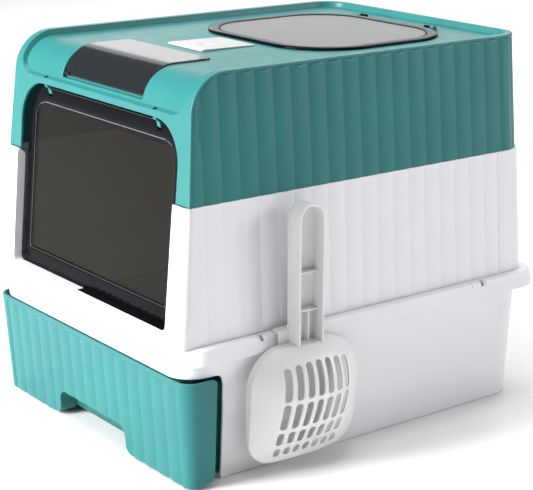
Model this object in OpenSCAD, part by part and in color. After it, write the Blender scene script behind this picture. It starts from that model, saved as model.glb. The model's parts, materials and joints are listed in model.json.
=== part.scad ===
// Enclosed cat litter box with a pull-out drawer, a swinging front door,
// a top exit hatch, a flip-up window with its slide latch and a hanging scoop.
// Millimetres. Origin at the centre of the footprint on the floor,
// front (door and drawer) towards -Y, scoop side towards +X, up is +Z.

/* [Overall] */
// Outside width of the tray rim (X)
rim_w = 400; // [396:1:404]
// Outside depth of the tray rim (Y)
rim_d = 510; // [506:1:512]
// Width of the tray where it meets the floor
foot_w = 362; // [358:1:366]
// Depth of the tray where it meets the floor
foot_d = 471; // [467:1:475]
// Width at the seam between the white walls and the lid
seam_w = 368; // [366:1:370]
// Width across the flat top of the lid
top_w = 348.6; // [347:0.2:350]

/* [Heights] */
// Underside of the tray rim
rim_z0 = 136; // [134:1:138]
// Top of the tray rim, where the walls stand
rim_z1 = 155; // [153:1:157]
// Seam between the white walls and the lid
seam_z = 300; // [298:1:302]
// Top of the lid
top_z = 431.5; // [430:0.5:433]
// Top edge of the drawer front
drawer_z = 119.5; // [117:0.5:120]

/* [Shells] */
// Thickness of the smooth shells
wall = 3; // [2.6:0.1:3.4]
// Thickness of the reeded walls, measured over the crowns
reed_wall = 4.5; // [4.2:0.1:5]
// Spacing of the reeds along a wall
reed_pitch = 23; // [22:0.5:23]
// Depth of a reed from crown to valley
reed_depth = 1.6; // [0.8:0.1:2]
// Radius of the big curve from the lid's front to its top
brow_r = 44; // [42:1:45]

/* [Door] */
// Half width of the door opening
open_hw = 158.5; // [156:0.5:160]
// Lowest point of the door opening
open_z0 = 168; // [166:1:170]
// Highest point of the door opening
open_z1 = 380; // [378:1:381]
// Radius of the opening's upper corners
open_r = 44; // [38:1:46]
// Clearance around the door flap
door_gap = 3; // [2:0.5:4]
// Radius of the door's hinge rod
rod_r = 3; // [2.5:0.1:3.2]

/* [Top hatch] */
// Width of the hatch rim (X)
hatch_w = 244; // [236:1:248]
// Depth of the hatch rim (Y)
hatch_d = 222; // [218:1:224]
// Corner radius of the hatch rim
hatch_r = 72; // [60:1:76]
// Centre of the hatch along Y
hatch_y = 77; // [76:1:79]

/* [Scoop] */
// Y position of the scoop's centre line
scoop_y = -112; // [-116:1:-104]
// Width of the scoop's handle
grip_w = 33; // [30:1:35]
// Half width of the scoop's mouth
bowl_hw = 71; // [64:1:72]

/* [Hidden] */
$fn = 48;
e = 0.01;
teal = [0.16, 0.56, 0.55];
white = [0.93, 0.93, 0.94];
smoke = [0.16, 0.17, 0.19, 0.75];

rim_hw = rim_w / 2;
rim_hd = rim_d / 2;
seam_hw = seam_w / 2;
seam_hd = 237;
body_hw = seam_hw + 5;            // walls where they stand on the rim
body_hd = 244.5;
// front of the lid: a line that leans back, then the brow, then the flat top
front_y = -238;                   // lid front at the seam
lean = 0.085;                     // how far the front leans back per mm of height
tilt = atan(lean);
brow_z = top_z - brow_r;
brow_y = front_y + lean * (brow_z - seam_z) + brow_r / cos(tilt);
// the recess in the top and brow
rec_z = top_z - 7;
rec_y = front_y + lean * (brow_z - seam_z) + 5;
rec_r = 39;
rec_hw = 163;
ridge_z = 390;                    // lower edge of the recess on the front
side_draft = atan((seam_hw - top_w / 2) / (top_z - seam_z));
body_draft = atan(5 / (seam_z - rim_z1));
// scoop
sx = 203.5;                       // back of the handle

function arc(cy, cz, r, a0, a1, n) = [for (i = [0:n]) let (a = a0 + (a1 - a0) * i / n) [cy + r * cos(a), cz + r * sin(a)]];
// rounded rectangle, counter-clockwise, with n steps a corner
function rr(hx, hy, r, n = 8) = concat(
    arc(hx - r, hy - r, r, 0, 90, n), arc(-hx + r, hy - r, r, 90, 180, n),
    arc(-hx + r, -hy + r, r, 180, 270, n), arc(hx - r, -hy + r, r, 270, 360, n));
// rectangle from z0 to z1 with its own radius at the bottom (rb) and top (rt)
function rr2(hx, z0, z1, rb, rt, n = 8) = concat(
    arc(hx - rt, z1 - rt, rt, 0, 90, n), arc(-hx + rt, z1 - rt, rt, 90, 180, n),
    arc(-hx + rb, z0 + rb, rb, 180, 270, n), arc(hx - rb, z0 + rb, rb, 270, 360, n));

// block that tapers between two rounded rectangles
module taper(z0, hx0, hy0, r0, z1, hx1, hy1, r1, y0 = 0, y1 = 0)
    hull() {
        translate([0, y0, z0]) linear_extrude(e) polygon(rr(hx0, hy0, r0));
        translate([0, y1, z1 - e]) linear_extrude(e) polygon(rr(hx1, hy1, r1));
    }
// profile in the YZ plane, extruded along X over +-hw
module along_x(pts, hw) translate([-hw, 0, 0]) rotate([90, 0, 90]) linear_extrude(2 * hw) polygon(pts);
// outline in the XZ plane, extruded along Y from y0 to y1
module along_y(pts, y0, y1) translate([0, y1, 0]) rotate([90, 0, 0]) linear_extrude(y1 - y0) polygon(pts);

// cutter that leaves n convex reeds on a wall: local X points out of the wall, Y along it
module reed_cutter(n, h, inset) {
    k = 6;
    edge = [for (i = [0:n * k]) let (u = (i / k - n / 2) * reed_pitch, t = (i % k) / k - 0.5)
                [-inset - reed_depth * pow(2 * (i % k == 0 ? 0.5 : abs(t)), 2), u]];
    linear_extrude(h) polygon(concat(edge, [[8, n / 2 * reed_pitch], [8, -n / 2 * reed_pitch]]));
}

// ---- lid profiles -------------------------------------------------------
function lid_profile(o) = concat(
    [[front_y + o / cos(tilt), seam_z - 1], [front_y + lean * (brow_z - seam_z) + o / cos(tilt), brow_z]],
    arc(brow_y, brow_z, brow_r - o, 180 - tilt, 90, 14),
    [[300, top_z - o], [300, seam_z - 1]]);
// region below the recess floor, moved inwards by o
function rec_profile(o) = concat(
    [[rec_y + o, seam_z - 1], [rec_y + o, rec_z - rec_r]],
    arc(rec_y + rec_r, rec_z - rec_r, rec_r - o, 180, 90, 14),
    [[300, rec_z - o], [300, seam_z - 1]]);
// window surfaces: an arc over the brow, flat on top
win_y = -185; win_z = 390.5; win_r = 36;
function win_arc(r, a0, a1) = arc(win_y, win_z, r, a0, a1, 12);
function win_profile(ro, ri, z0, y1) = let (a = 180 - asin((z0 - win_z) / ro), b = 180 - asin((z0 - win_z) / ri)) concat(
    win_arc(ro, a, 90), [[y1, win_z + ro], [y1, win_z + ri]], win_arc(ri, 90, b));
door_outline = rr2(open_hw, open_z0, open_z1, 6, open_r, 10);

// ---- base ---------------------------------------------------------------
module base_tray() color(white) difference() {
    union() {
        taper(0, foot_w / 2, foot_d / 2, 32, rim_z0 + 1, foot_w / 2 + 13, foot_d / 2 + 0.5, 40);
        // rolled rim with a soft outer edge
        taper(rim_z0, rim_hw - 1, rim_hd - 1, 31, rim_z0 + 4.1, rim_hw, rim_hd, 32);
        taper(rim_z0 + 4, rim_hw, rim_hd, 32, rim_z1, rim_hw - 2.5, rim_hd - 2, 30);
        // bar over the drawer
        intersection() {
            along_x([[-254.6, rim_z0 + 2], [-253.2, 122], [-235, 122], [-235, rim_z0 + 2]], rim_hw - 6);
            translate([0, 0, 100]) linear_extrude(60) polygon(rr(rim_hw - 5, rim_hd, 30));
        }
    }
    taper(wall, foot_w / 2 - wall, foot_d / 2 - wall, 29, rim_z0 + 1.2, foot_w / 2 + 13 - wall, foot_d / 2 + 0.5 - wall, 37);
    translate([0, 0, rim_z0]) linear_extrude(30) polygon(rr(foot_w / 2 + 6, foot_d / 2 - 3.5, 33));
    // groove on the underside of the rim, which makes it a skirt
    difference() {
        translate([-220, -195, rim_z0 - 1]) cube([440, 460, 15]);
        translate([0, 0, rim_z0 - 2]) linear_extrude(18) polygon(rr(foot_w / 2 + 13.4, foot_d / 2 + 3.5, 41));
        difference() {
            translate([-230, -260, rim_z0 - 3]) cube([460, 540, 20]);
            translate([0, 0, rim_z0 - 4]) linear_extrude(22) polygon(rr(rim_hw - 2.8, rim_hd - 2.8, 29.5));
        }
    }
    // pockets of the clips in the rim's top edge
    for (s = [-1, 1]) for (t = [-1, 1]) translate([s > 0 ? 191.6 : -203, t * 151 - 9, 149.4]) cube([11.4, 18, 10]);
    // mouth of the drawer bay, with rounded upper corners at the sides
    along_x([[-300, -1], [-199.4, -1], [-202.5, 112], [-204, 117.5], [-207, 120.3], [-211, 121.5], [-300, 121.5]], 300);
}
module rim_clips() color(white)
    for (s = [-1, 1]) for (t = [-1, 1]) along_y([for (p = [[192, 149.4], [198.6, 149.4], [198.9, 150.4], [198.2, 152.6], [197, 154], [195.2, 155], [193.6, 155.3], [192, 155.3]]) [s * p[0], p[1]]],
        t > 0 ? 142.2 : -156.2, t > 0 ? 156.2 : -142.2);

// ---- drawer -------------------------------------------------------------
module drawer_pan() color(teal) difference() {
    taper(5, 171, 221, 22, 110, 180, 229, 26, y0 = 0, y1 = -1);
    taper(8, 168, 218, 19, 111, 177.2, 226.2, 23, y0 = 0, y1 = -1);
}
drawer_plan_r = 18;
module drawer_front() color(teal) difference() {
    union() {
        // leaning face with wings that wrap the sides
        difference() {
            taper(2, 193.5, 46.5, drawer_plan_r - 5, drawer_z, 199, 55, drawer_plan_r, y0 = -200, y1 = -200);
            taper(0, 190.4, 43.5, drawer_plan_r - 8, drawer_z + 1, 196, 52, drawer_plan_r - 3, y0 = -200, y1 = -200);
            translate([0, 85, 60]) cube([500, 600, 200], center = true);
        }
        // top and back plate that carries the face on the pan
        along_x([[-251, drawer_z - 3], [-251, drawer_z - 0.4], [-233, drawer_z - 0.4], [-231.2, 108], [-222.6, 6], [-225.6, 6], [-233.6, 105], [-235.5, drawer_z - 3]], 176);
        // return walls of the finger notch
        difference() {
            along_y(rr2(72, 8, 36, 2, 12), -248.6, -224);
            along_y(rr2(69, -20, 33, 2, 10), -260, -200);
        }
    }
    // clear way through the back plate behind the notch
    along_y(rr2(69, -20, 33, 2, 10), -247, -200);
    // finger notch with flared feet
    along_y(concat([[69 + 12, -1], [69 + 12, 2]], arc(81, 14, 12, 270, 180, 6), arc(57, 21, 12, 0, 90, 6), arc(-57, 21, 12, 90, 180, 6), arc(-81, 14, 12, 0, -90, 6), [[-81, -1]]), -262, -240);
    // reeds on the leaning face
    translate([0, -246.6, 2]) rotate([0, 0, -90]) rotate([0, 4.17, 0]) difference() {
        translate([0, 0, -4]) reed_cutter(15, 116.5, 0);
    }
}
module drawer_glides() color([0.3, 0.3, 0.32])
    for (s = [-1, 1]) for (y = [-150, 150])
        translate([s * 150 - 8, y - 20, 3.3]) cube([16, 40, 1.7]);

// ---- walls --------------------------------------------------------------
// smooth tapered tube of the walls; hd moves the front beyond the front panel
module wall_tube() difference() {
    taper(rim_z1, body_hw, body_hd, 30, seam_z, seam_hw, seam_hd, 30);
    taper(rim_z1 - 1, body_hw - reed_wall, body_hd - reed_wall, 26, seam_z + 1, seam_hw - reed_wall, seam_hd - reed_wall, 26);
}
module side_reeds(n) translate([body_hw, 0, rim_z1]) rotate([0, -body_draft, 0]) translate([0, 0, 2]) reed_cutter(n, 140, 0.4);
module reeded_walls() difference() {
    wall_tube();
    side_reeds(19);
    mirror([1, 0, 0]) side_reeds(19);
    translate([0, body_hd, rim_z1]) rotate([0, 0, 90]) rotate([0, -atan(7.5 / 145), 0]) translate([0, 0, 2]) reed_cutter(13, 140, 0.4);
}
module left_panel() color(white) intersection() {
    reeded_walls();
    translate([-220, -228, 100]) cube([120, 428, 260]);
}
module right_panel() color(white) intersection() {
    reeded_walls();
    translate([100, -228, 100]) cube([120, 428, 260]);
}
module rear_panel() color(white) intersection() {
    reeded_walls();
    translate([-220, 200, 100]) cube([440, 80, 260]);
}
fp_out = [[-254.2, rim_z1], [-252.8, 170], [-241.5, seam_z], [-228, seam_z], [-228, rim_z1]];
module front_panel() color(white) difference() {
    intersection() {
        along_x(fp_out, 220);
        taper(rim_z1, body_hw, 300, 8, seam_z, seam_hw, 300, 6, y0 = 45.8, y1 = 58.5);
    }
    difference() {
        along_x([[-251.1, rim_z1 - 1], [-249.6, 170], [-238.4, seam_z + 1], [-227, seam_z + 1], [-227, rim_z1 - 1]], 185.5 - 4);
        along_y(rr2(open_hw + 3, open_z0 - 3, open_z1 + 3, 9, open_r + 3, 10), -262, -220);
    }
    along_y(door_outline, -262, -220);
}

// dark strip along the sill, where the closed door comes to rest
module sill_strip() color([0.1, 0.1, 0.11]) translate([-15, -252.2, open_z0]) cube([168, 16.2, 0.9]);

// ---- lid ----------------------------------------------------------------
module lid_reeds(n) translate([seam_hw, 0, seam_z]) rotate([0, -side_draft, 0]) translate([0, 0, -2]) reed_cutter(n, 150, 0.8);
module lid_shell() color(teal) difference() {
    union() {
        difference() {
            intersection() {
                taper(seam_z, seam_hw, seam_hd + 30, 36, top_z, top_w / 2, 264, 36, y0 = -30, y1 = -30);
                along_x(lid_profile(0), 200);
            }
            // inside of the lid
            intersection() {
                taper(seam_z - 1, seam_hw - reed_wall, seam_hd - reed_wall + 30, 32, rec_z - wall, top_w / 2 - reed_wall + 0.8, 260, 32, y0 = -30, y1 = -30);
                along_x(rec_profile(wall), 200);
            }
            intersection() {
                taper(seam_z - 1, seam_hw - reed_wall, seam_hd + 30, 24, 382, top_w / 2 + 1, 265, 24, y0 = -30, y1 = -30);
                along_x([[front_y + wall, seam_z - 1], [front_y + lean * 78 + wall, 378], [rec_y + 4, 385], [-200, 385], [-200, seam_z - 1]], 200);
            }
            // recess over the top and the brow
            intersection() {
                difference() {
                    translate([-rec_hw - 3, -300, 350]) cube([2 * rec_hw + 6, 600, 120]);
                    along_x(rec_profile(0), 200);
                }
                translate([0, -40, 340]) linear_extrude(120) polygon(rr(rec_hw, 266, 26));
                along_y(rr2(rec_hw + 2, ridge_z, 480, 20, 4), -300, 300);
            }
            // door opening
            along_y(door_outline, -262, -205);
            // reeds stop short of the smooth border at the front and top
            intersection() {
                union() {
                    lid_reeds(19);
                    mirror([1, 0, 0]) lid_reeds(19);
                    translate([0, seam_hd, seam_z]) rotate([0, 0, 90]) rotate([0, -atan(3 / 131.5), 0]) translate([0, 0, -2]) reed_cutter(13, 150, 0.8);
                }
                along_x(lid_profile(2.4), 220);
            }
        }
        // frame under the window
        intersection() {
            difference() {
                along_x(concat([[-218.8, 392]], win_arc(33.8, 180, 90), [[-128, 424.3], [-128, 419.3]], win_arc(28.8, 90, 180), [[-213.8, 392]]), 88);
                along_x([[-240, 402], [-150, 402], [-150, 440], [-240, 440]], 70);
            }
            along_x(rec_profile(1), 200);
        }
        for (s = [-1, 1]) translate([s * 84.5 - 3.5, 0, 0]) intersection() {
            translate([0, -226, 391]) cube([7, 98, 34]);
            along_x(rec_profile(0.5), 200);
            difference() {
                along_x([[-226, 391], [-226, 426], [-128, 426], [-128, 391]], 200);
                along_x(concat([[-214, 391]], win_arc(29, 180, 90), [[-128, 419.5], [-128, 391]]), 200);
            }
        }
    }
    // seat of the window
    along_x(concat([[-240, 393.5]], [[-218.8, 393.5]], win_arc(33.8, 175, 90), [[-136.4, 424.3], [-136.4, 440], [-240, 440]]), 80.8);
    along_x([[-240, 402], [-150, 402], [-150, 440], [-240, 440]], 70);
    // bores for the window's pins
    translate([-92, -220.6, 396.4]) rotate([0, 90, 0]) cylinder(h = 184, r = 1.25);
    // hatch opening
    translate([0, hatch_y, 400]) linear_extrude(60) polygon(rr(hatch_w / 2 - 16, hatch_d / 2 - 16, hatch_r - 16));
    // slots for the latch legs
    for (s = [-1, 1]) translate([s * 20 - 3.2, -95, 400]) cube([6.4, 24, 60]);
}

// hooks that hold the door's rod, on the inside above the opening
rod_y = -220; rod_z = 371.5;
module door_hinge_hooks() color(teal)
    for (s = [-1, 1]) translate([s * 110 - 3, 0, 0]) rotate([90, 0, 90]) difference() {
        union() {
            translate([rod_y, rod_z]) linear_extrude(6) polygon([[-5.2, -3.5], [-3.5, -5.2], [3.5, -5.2], [5.2, -3.5], [5.2, 9], [2.5, 16], [-2.42, 16], [-2.42, 10.2], [-5, 8.2], [-10.8, 8.2], [-10.8, 4.2], [-5.2, -0.5]]);
        }
        translate([rod_y, rod_z, -1]) cylinder(h = 8, r = rod_r + 0.05);
    }
hh_y = hatch_y + hatch_d / 2 + 2.6; hh_z = rec_z + 2.7;
module hatch_hinge_lugs() color(teal)
    for (s = [-1, 1]) translate([s * 66 - 3, 0, 0]) rotate([90, 0, 90]) difference() {
        linear_extrude(6) polygon([[hh_y - 2.2, rec_z], [hh_y - 2.5, rec_z + 3.4], [hh_y - 1.2, rec_z + 5.2], [hh_y + 1.2, rec_z + 5.2], [hh_y + 3, rec_z + 3.4], [hh_y + 5, rec_z]]);
        translate([hh_y, hh_z, -1]) cylinder(h = 8, r = 1.25);
    }

// ---- door ---------------------------------------------------------------
door_a = 5.4;
door_hw = open_hw - door_gap;
door_drop = 201.4;
module door_flap() color(smoke) translate([0, rod_y, rod_z]) rotate([-door_a, 0, 0]) difference() {
    union() {
        // raised frame round a thinner pane
        difference() {
            along_y(rr2(door_hw, -door_drop, 3.2, 5, open_r - door_gap, 10), -3.2, 3.2);
            along_y(rr2(door_hw - 15, -door_drop + 22, -19, 6, open_r - door_gap - 12, 10), -5, 5);
        }
        along_y(rr2(door_hw - 15, -door_drop + 22, -19, 6, open_r - door_gap - 12, 10), -1.2, 1.3);
    }
    // notches for the lid's hooks and the groove for the rod
    for (s = [-1, 1]) translate([s * 110, 0, 0]) cube([7.4, 20, 14.4], center = true);
    rotate([0, 90, 0]) translate([0, 0, -120]) cylinder(h = 240, r = rod_r + 0.05);
}
module door_hinge_rod() color([0.2, 0.2, 0.22]) translate([-119.5, rod_y, rod_z]) rotate([0, 90, 0]) cylinder(h = 239, r = rod_r);

// ---- hatch --------------------------------------------------------------
module hatch_rim() color(smoke) difference() {
    union() {
        translate([0, hatch_y, rec_z + 0.3]) linear_extrude(2.8) polygon(rr(hatch_w / 2, hatch_d / 2, hatch_r, 10));
        // knuckles on the pins
        for (s = [-1, 1]) translate([s * 57.5 - 5, hh_y, hh_z]) rotate([0, 90, 0]) cylinder(h = 10, r = 2.3);
        for (s = [-1, 1]) translate([s * 57.5 - 5, hh_y - 6, rec_z + 0.4]) cube([10, 6, 2.6]);
    }
    translate([0, hatch_y, rec_z + 1.2]) linear_extrude(5) polygon(rr(hatch_w / 2 - 12, hatch_d / 2 - 12, hatch_r - 12, 10));
    translate([0, hatch_y, rec_z - 1]) linear_extrude(5) polygon(rr(hatch_w / 2 - 15, hatch_d / 2 - 15, hatch_r - 15, 10));
    for (s = [-1, 1]) translate([s * 57.5 - 6, hh_y, hh_z]) rotate([0, 90, 0]) cylinder(h = 12, r = 1.2);
    for (s = [-1, 1]) translate([s * 66 - 3.4, hh_y - 3.4, rec_z - 1]) cube([6.8, 12, 12]);
}
module hatch_pane() color(smoke) translate([0, hatch_y, rec_z + 1.2]) linear_extrude(1.6) polygon(rr(hatch_w / 2 - 12, hatch_d / 2 - 12, hatch_r - 12, 10));
module hatch_hinge_pins() color([0.2, 0.2, 0.22])
    for (s = [-1, 1]) translate([min(s * 52.7, s * 68.7), hh_y, hh_z]) rotate([0, 90, 0]) cylinder(h = 16, r = 1.2);

// ---- window and latch ---------------------------------------------------
wp_y = -220.6; wp_z = 396.4;
module front_window() color(smoke) difference() {
    union() {
        along_x(win_profile(win_r, win_r - 1.9, 395.2, -137.2), 80);
        for (s = [-1, 1]) translate([s * 76 - 4, wp_y, wp_z]) rotate([0, 90, 0]) cylinder(h = 8, r = 2.1);
    }
    // notch for the latch tongue
    translate([-10, -143, 420]) cube([20, 10, 10]);
    for (s = [-1, 1]) translate([s * 76 - 5, wp_y, wp_z]) rotate([0, 90, 0]) cylinder(h = 10, r = 1.2);
}
module window_hinge_pins() color([0.2, 0.2, 0.22])
    for (s = [-1, 1]) translate([min(s * 72, s * 87), wp_y, wp_z]) rotate([0, 90, 0]) cylinder(h = 15, r = 1.2);
module latch_slider() color(white) {
    difference() {
        union() {
            along_x([[-117, rec_z + 0.2], [-117, rec_z + 2], [-116, rec_z + 2.4], [-45.5, rec_z + 1.2], [-44.5, rec_z + 0.9], [-44.5, rec_z + 0.2]], 34);
            translate([-7, -142, rec_z + 0.2]) cube([14, 26, 1.8]);
        }
        // shallow thumb dish
        translate([0, -88, rec_z + 21.9]) sphere(r = 21, $fn = 64);
    }
    for (s = [-1, 1]) translate([s * 20 - 2.5, -94.5, rec_z - 4.6]) cube([5, 14, 4.9]);
}
module latch_retainer() color(white)
    translate([-30, -97, rec_z - 6.6]) cube([60, 20, 2]);

// ---- scoop --------------------------------------------------------------
function mouth(hw) = concat(arc(scoop_y + hw - 34, 48, 34, -90, 0, 6), [[scoop_y + hw, 88]], arc(scoop_y + hw - 46, 98, 46, 10, 75, 6),
    arc(scoop_y - hw + 46, 98, 46, 105, 170, 6), [[scoop_y - hw, 88]], arc(scoop_y - hw + 34, 48, 34, 180, 270, 6));
// outline in the YZ plane, as a slab from x0 to x1
module slab(pts, x0, x1) translate([x0, 0, 0]) rotate([90, 0, 90]) linear_extrude(x1 - x0) polygon(pts);
// section of the bowl at height h over its mouth
function bowl_cut(hw, z0, z1, r) = [for (p = rr(hw, (z1 - z0) / 2, r, 5)) [p[0] + scoop_y, p[1] + (z0 + z1) / 2]];
module bowl_form(t) hull() {
    slab([for (p = mouth(bowl_hw - t)) [p[0], t * 0.8 + p[1] * (1 - t / 100)]], sx - 1.5 - t, sx + 1 - t);
    slab(bowl_cut(67 - t, 29 + t, 141 - t, 40), sx + 10.5 - t, sx + 11 - t);
    slab(bowl_cut(58 - t, 47 + t, 137 - t, 38), sx + 21.5 - t, sx + 22 - t);
    slab(bowl_cut(44 - t, 65 + t, 128 - t, 28), sx + 29.5 - t, sx + 30 - t);
    slab(bowl_cut(24 - t, 83 + t, 115 - t, 12), sx + 35.5 - t, sx + 36 - t);
    slab(bowl_cut(8, 92, 105, 5), sx + 37.7 - t, sx + 38.2 - t);
}
module litter_scoop() color([0.86, 0.86, 0.85]) difference() {
    union() {
        // bowl, with its convex side away from the box
        difference() {
            bowl_form(0);
            bowl_form(2.2);
            slab([for (p = mouth(bowl_hw - 2.4)) [p[0], 2 + p[1] * 0.975]], sx - 5, sx - 1.4);
        }
        // channel of the handle
        difference() {
            slab(rr2h(grip_w / 2, 130, 294, 16), sx, 222.5);
            slab(rr2h(grip_w / 2 - 2.4, 126, 291.6, 13.8), sx + 2.4, 224);
        }
        // cross ribs and the divider at the neck
        for (z = [177, 218]) translate([sx + 1, scoop_y - grip_w / 2 + 1, z]) cube([9, grip_w - 2, 2]);
        translate([sx + 1, scoop_y + 2, 134]) cube([9, 2, 44]);
        // lug that hangs over the tray's rim
        translate([191.5, scoop_y - 28, rim_z1 + 0.3]) cube([sx - 190, 56, 2.6]);
        translate([sx - 1.5, scoop_y - 28, 140]) cube([2.6, 56, rim_z1 - 137]);
    }
    // four rows of sieve slots
    for (i = [0:6]) {
        y = scoop_y - 39 + i * 13;
        for (r = [[92, 128, 217], [57.5, 87.4, 217], [37, 52.6, 206], [22, 31.8, 206]])
            slab([for (p = rr(4.1, (r[1] - r[0]) / 2, 3.6, 4)) [p[0] + y, p[1] + (r[0] + r[1]) / 2]], r[2], 250);
    }
}
function rr2h(hw, z0, z1, rt) = [for (p = rr2(hw, z0, z1, 1, rt, 8)) [p[0] + scoop_y, p[1]]];

base_tray();
rim_clips();
drawer_pan();
drawer_front();
drawer_glides();
front_panel();
left_panel();
right_panel();
rear_panel();
sill_strip();
lid_shell();
door_hinge_hooks();
hatch_hinge_lugs();
door_flap();
door_hinge_rod();
hatch_rim();
hatch_pane();
hatch_hinge_pins();
front_window();
window_hinge_pins();
latch_slider();
latch_retainer();
litter_scoop();
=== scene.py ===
import json
import math
import bpy
import bmesh
import numpy as np
from mathutils import Vector, Matrix
from mathutils.geometry import delaunay_2d_cdt


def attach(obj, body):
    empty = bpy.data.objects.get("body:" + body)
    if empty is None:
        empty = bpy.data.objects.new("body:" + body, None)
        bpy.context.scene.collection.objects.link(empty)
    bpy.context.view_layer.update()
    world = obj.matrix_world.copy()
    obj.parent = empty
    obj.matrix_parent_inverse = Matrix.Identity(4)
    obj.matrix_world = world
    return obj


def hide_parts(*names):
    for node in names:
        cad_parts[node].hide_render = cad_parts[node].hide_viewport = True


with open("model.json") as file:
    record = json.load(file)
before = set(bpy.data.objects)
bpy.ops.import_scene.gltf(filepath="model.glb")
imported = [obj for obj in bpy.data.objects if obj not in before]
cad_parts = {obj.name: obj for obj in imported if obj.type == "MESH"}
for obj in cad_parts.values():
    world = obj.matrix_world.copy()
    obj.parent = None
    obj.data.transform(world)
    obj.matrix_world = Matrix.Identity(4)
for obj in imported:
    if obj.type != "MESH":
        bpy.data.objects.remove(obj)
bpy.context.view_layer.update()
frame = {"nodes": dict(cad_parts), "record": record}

NODES = frame["nodes"]
MM = 0.001


# ---------------------------------------------------------------- materials
def material(name):
    m = bpy.data.materials.new(name)
    m.use_nodes = True
    nt = m.node_tree
    nt.nodes.clear()
    out = nt.nodes.new("ShaderNodeOutputMaterial")
    bsdf = nt.nodes.new("ShaderNodeBsdfPrincipled")
    nt.links.new(bsdf.outputs[0], out.inputs[0])
    return m, nt, bsdf


def noise(nt, scale, detail=2.0, rough=0.5, stretch=(1, 1, 1)):
    co = nt.nodes.new("ShaderNodeTexCoord")
    mp = nt.nodes.new("ShaderNodeMapping")
    mp.inputs["Scale"].default_value = stretch
    tx = nt.nodes.new("ShaderNodeTexNoise")
    tx.inputs["Scale"].default_value = scale
    tx.inputs["Detail"].default_value = detail
    tx.inputs["Roughness"].default_value = rough
    nt.links.new(co.outputs["Object"], mp.inputs["Vector"])
    nt.links.new(mp.outputs["Vector"], tx.inputs["Vector"])
    return tx.outputs["Fac"]


def ramp(nt, fac, stops):
    r = nt.nodes.new("ShaderNodeValToRGB")
    els = r.color_ramp.elements
    while len(els) < len(stops):
        els.new(0.5)
    for el, (pos, col) in zip(els, stops):
        el.position = pos
        el.color = (*col, 1) if len(col) == 3 else col
    nt.links.new(fac, r.inputs["Fac"])
    return r.outputs["Color"]


def moulded(name, col, spread=0.05, rough=(0.38, 0.46), grain=900.0, bump=0.12, spec=0.5, coat=0.0, mottling=14.0):
    """Moulded plastic: a faint mottling in colour and sheen, and the fine spark texture of the mould."""
    m, nt, b = material(name)
    lo = tuple(c * (1 - spread) for c in col)
    hi = tuple(min(1, c * (1 + spread)) for c in col)
    b_col = ramp(nt, noise(nt, mottling, 3.0, 0.55), [(0.3, lo), (0.7, hi)])
    nt.links.new(b_col, b.inputs["Base Color"])
    r = ramp(nt, noise(nt, 60.0, 4.0, 0.6), [(0.3, (rough[0],) * 3), (0.7, (rough[1],) * 3)])
    nt.links.new(r, b.inputs["Roughness"])
    bp = nt.nodes.new("ShaderNodeBump")
    bp.inputs["Strength"].default_value = bump
    bp.inputs["Distance"].default_value = 0.0002
    nt.links.new(noise(nt, grain, 2.0, 0.5), bp.inputs["Height"])
    nt.links.new(bp.outputs["Normal"], b.inputs["Normal"])
    b.inputs["Specular IOR Level"].default_value = spec
    b.inputs["Coat Weight"].default_value = coat
    return m


def smoky(name, col, alpha, rough=(0.03, 0.07), spec=0.5):
    """Tinted clear plastic, seen through by its alpha, with a faint ripple from moulding."""
    m, nt, b = material(name)
    c = ramp(nt, noise(nt, 7.0, 2.0, 0.5), [(0.3, tuple(k * 0.9 for k in col)), (0.7, tuple(k * 1.1 for k in col))])
    nt.links.new(c, b.inputs["Base Color"])
    r = ramp(nt, noise(nt, 40.0, 3.0, 0.6), [(0.3, (rough[0],) * 3), (0.7, (rough[1],) * 3)])
    nt.links.new(r, b.inputs["Roughness"])
    bp = nt.nodes.new("ShaderNodeBump")
    bp.inputs["Strength"].default_value = 0.05
    bp.inputs["Distance"].default_value = 0.0004
    nt.links.new(noise(nt, 18.0, 1.0, 0.4), bp.inputs["Height"])
    nt.links.new(bp.outputs["Normal"], b.inputs["Normal"])
    b.inputs["Alpha"].default_value = alpha
    b.inputs["Specular IOR Level"].default_value = spec
    return m


TEAL = moulded("teal_moulded", (0.018, 0.153, 0.150), rough=(0.36, 0.44), spec=0.33)
WHITE = moulded("white_moulded", (0.71, 0.705, 0.735), spread=0.012, rough=(0.36, 0.46))
GREYSC = moulded("scoop_moulded", (0.70, 0.70, 0.70), spread=0.015, rough=(0.34, 0.44))
LATCH = moulded("latch_moulded", (0.40, 0.40, 0.405), spread=0.01, rough=(0.24, 0.32), spec=0.1)
DARK = moulded("pin_moulded", (0.03, 0.03, 0.033), spread=0.1, rough=(0.3, 0.4))
# near-black material that paints shade: the shadowed gap on the sill under the door and the shade inside the ridge
# slots
PAINTED_SHADE_BLACK = moulded("painted_shade_black", (0.004, 0.004, 0.004), spread=0.2, rough=(0.55, 0.7), spec=0.03)
SMOKE = smoky("smoke_clear", (0.0138, 0.013, 0.0102), 0.58, spec=0.05)
SMOKE_RIM = smoky("smoke_thick", (0.003, 0.0036, 0.0045), 1.0, rough=(0.07, 0.11), spec=0.035)
# lighter smoke that paints highlight lines along the door's inner bevel and its outer edge
SMOKE_PAINTED_HIGHLIGHT = smoky("smoke_painted_highlight", (0.085, 0.087, 0.088), 1.0, rough=(0.07, 0.11), spec=0.2)
SMOKE_TOP = smoky("smoke_pane", (0.010, 0.012, 0.014), 0.76, rough=(0.05, 0.1))

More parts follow.
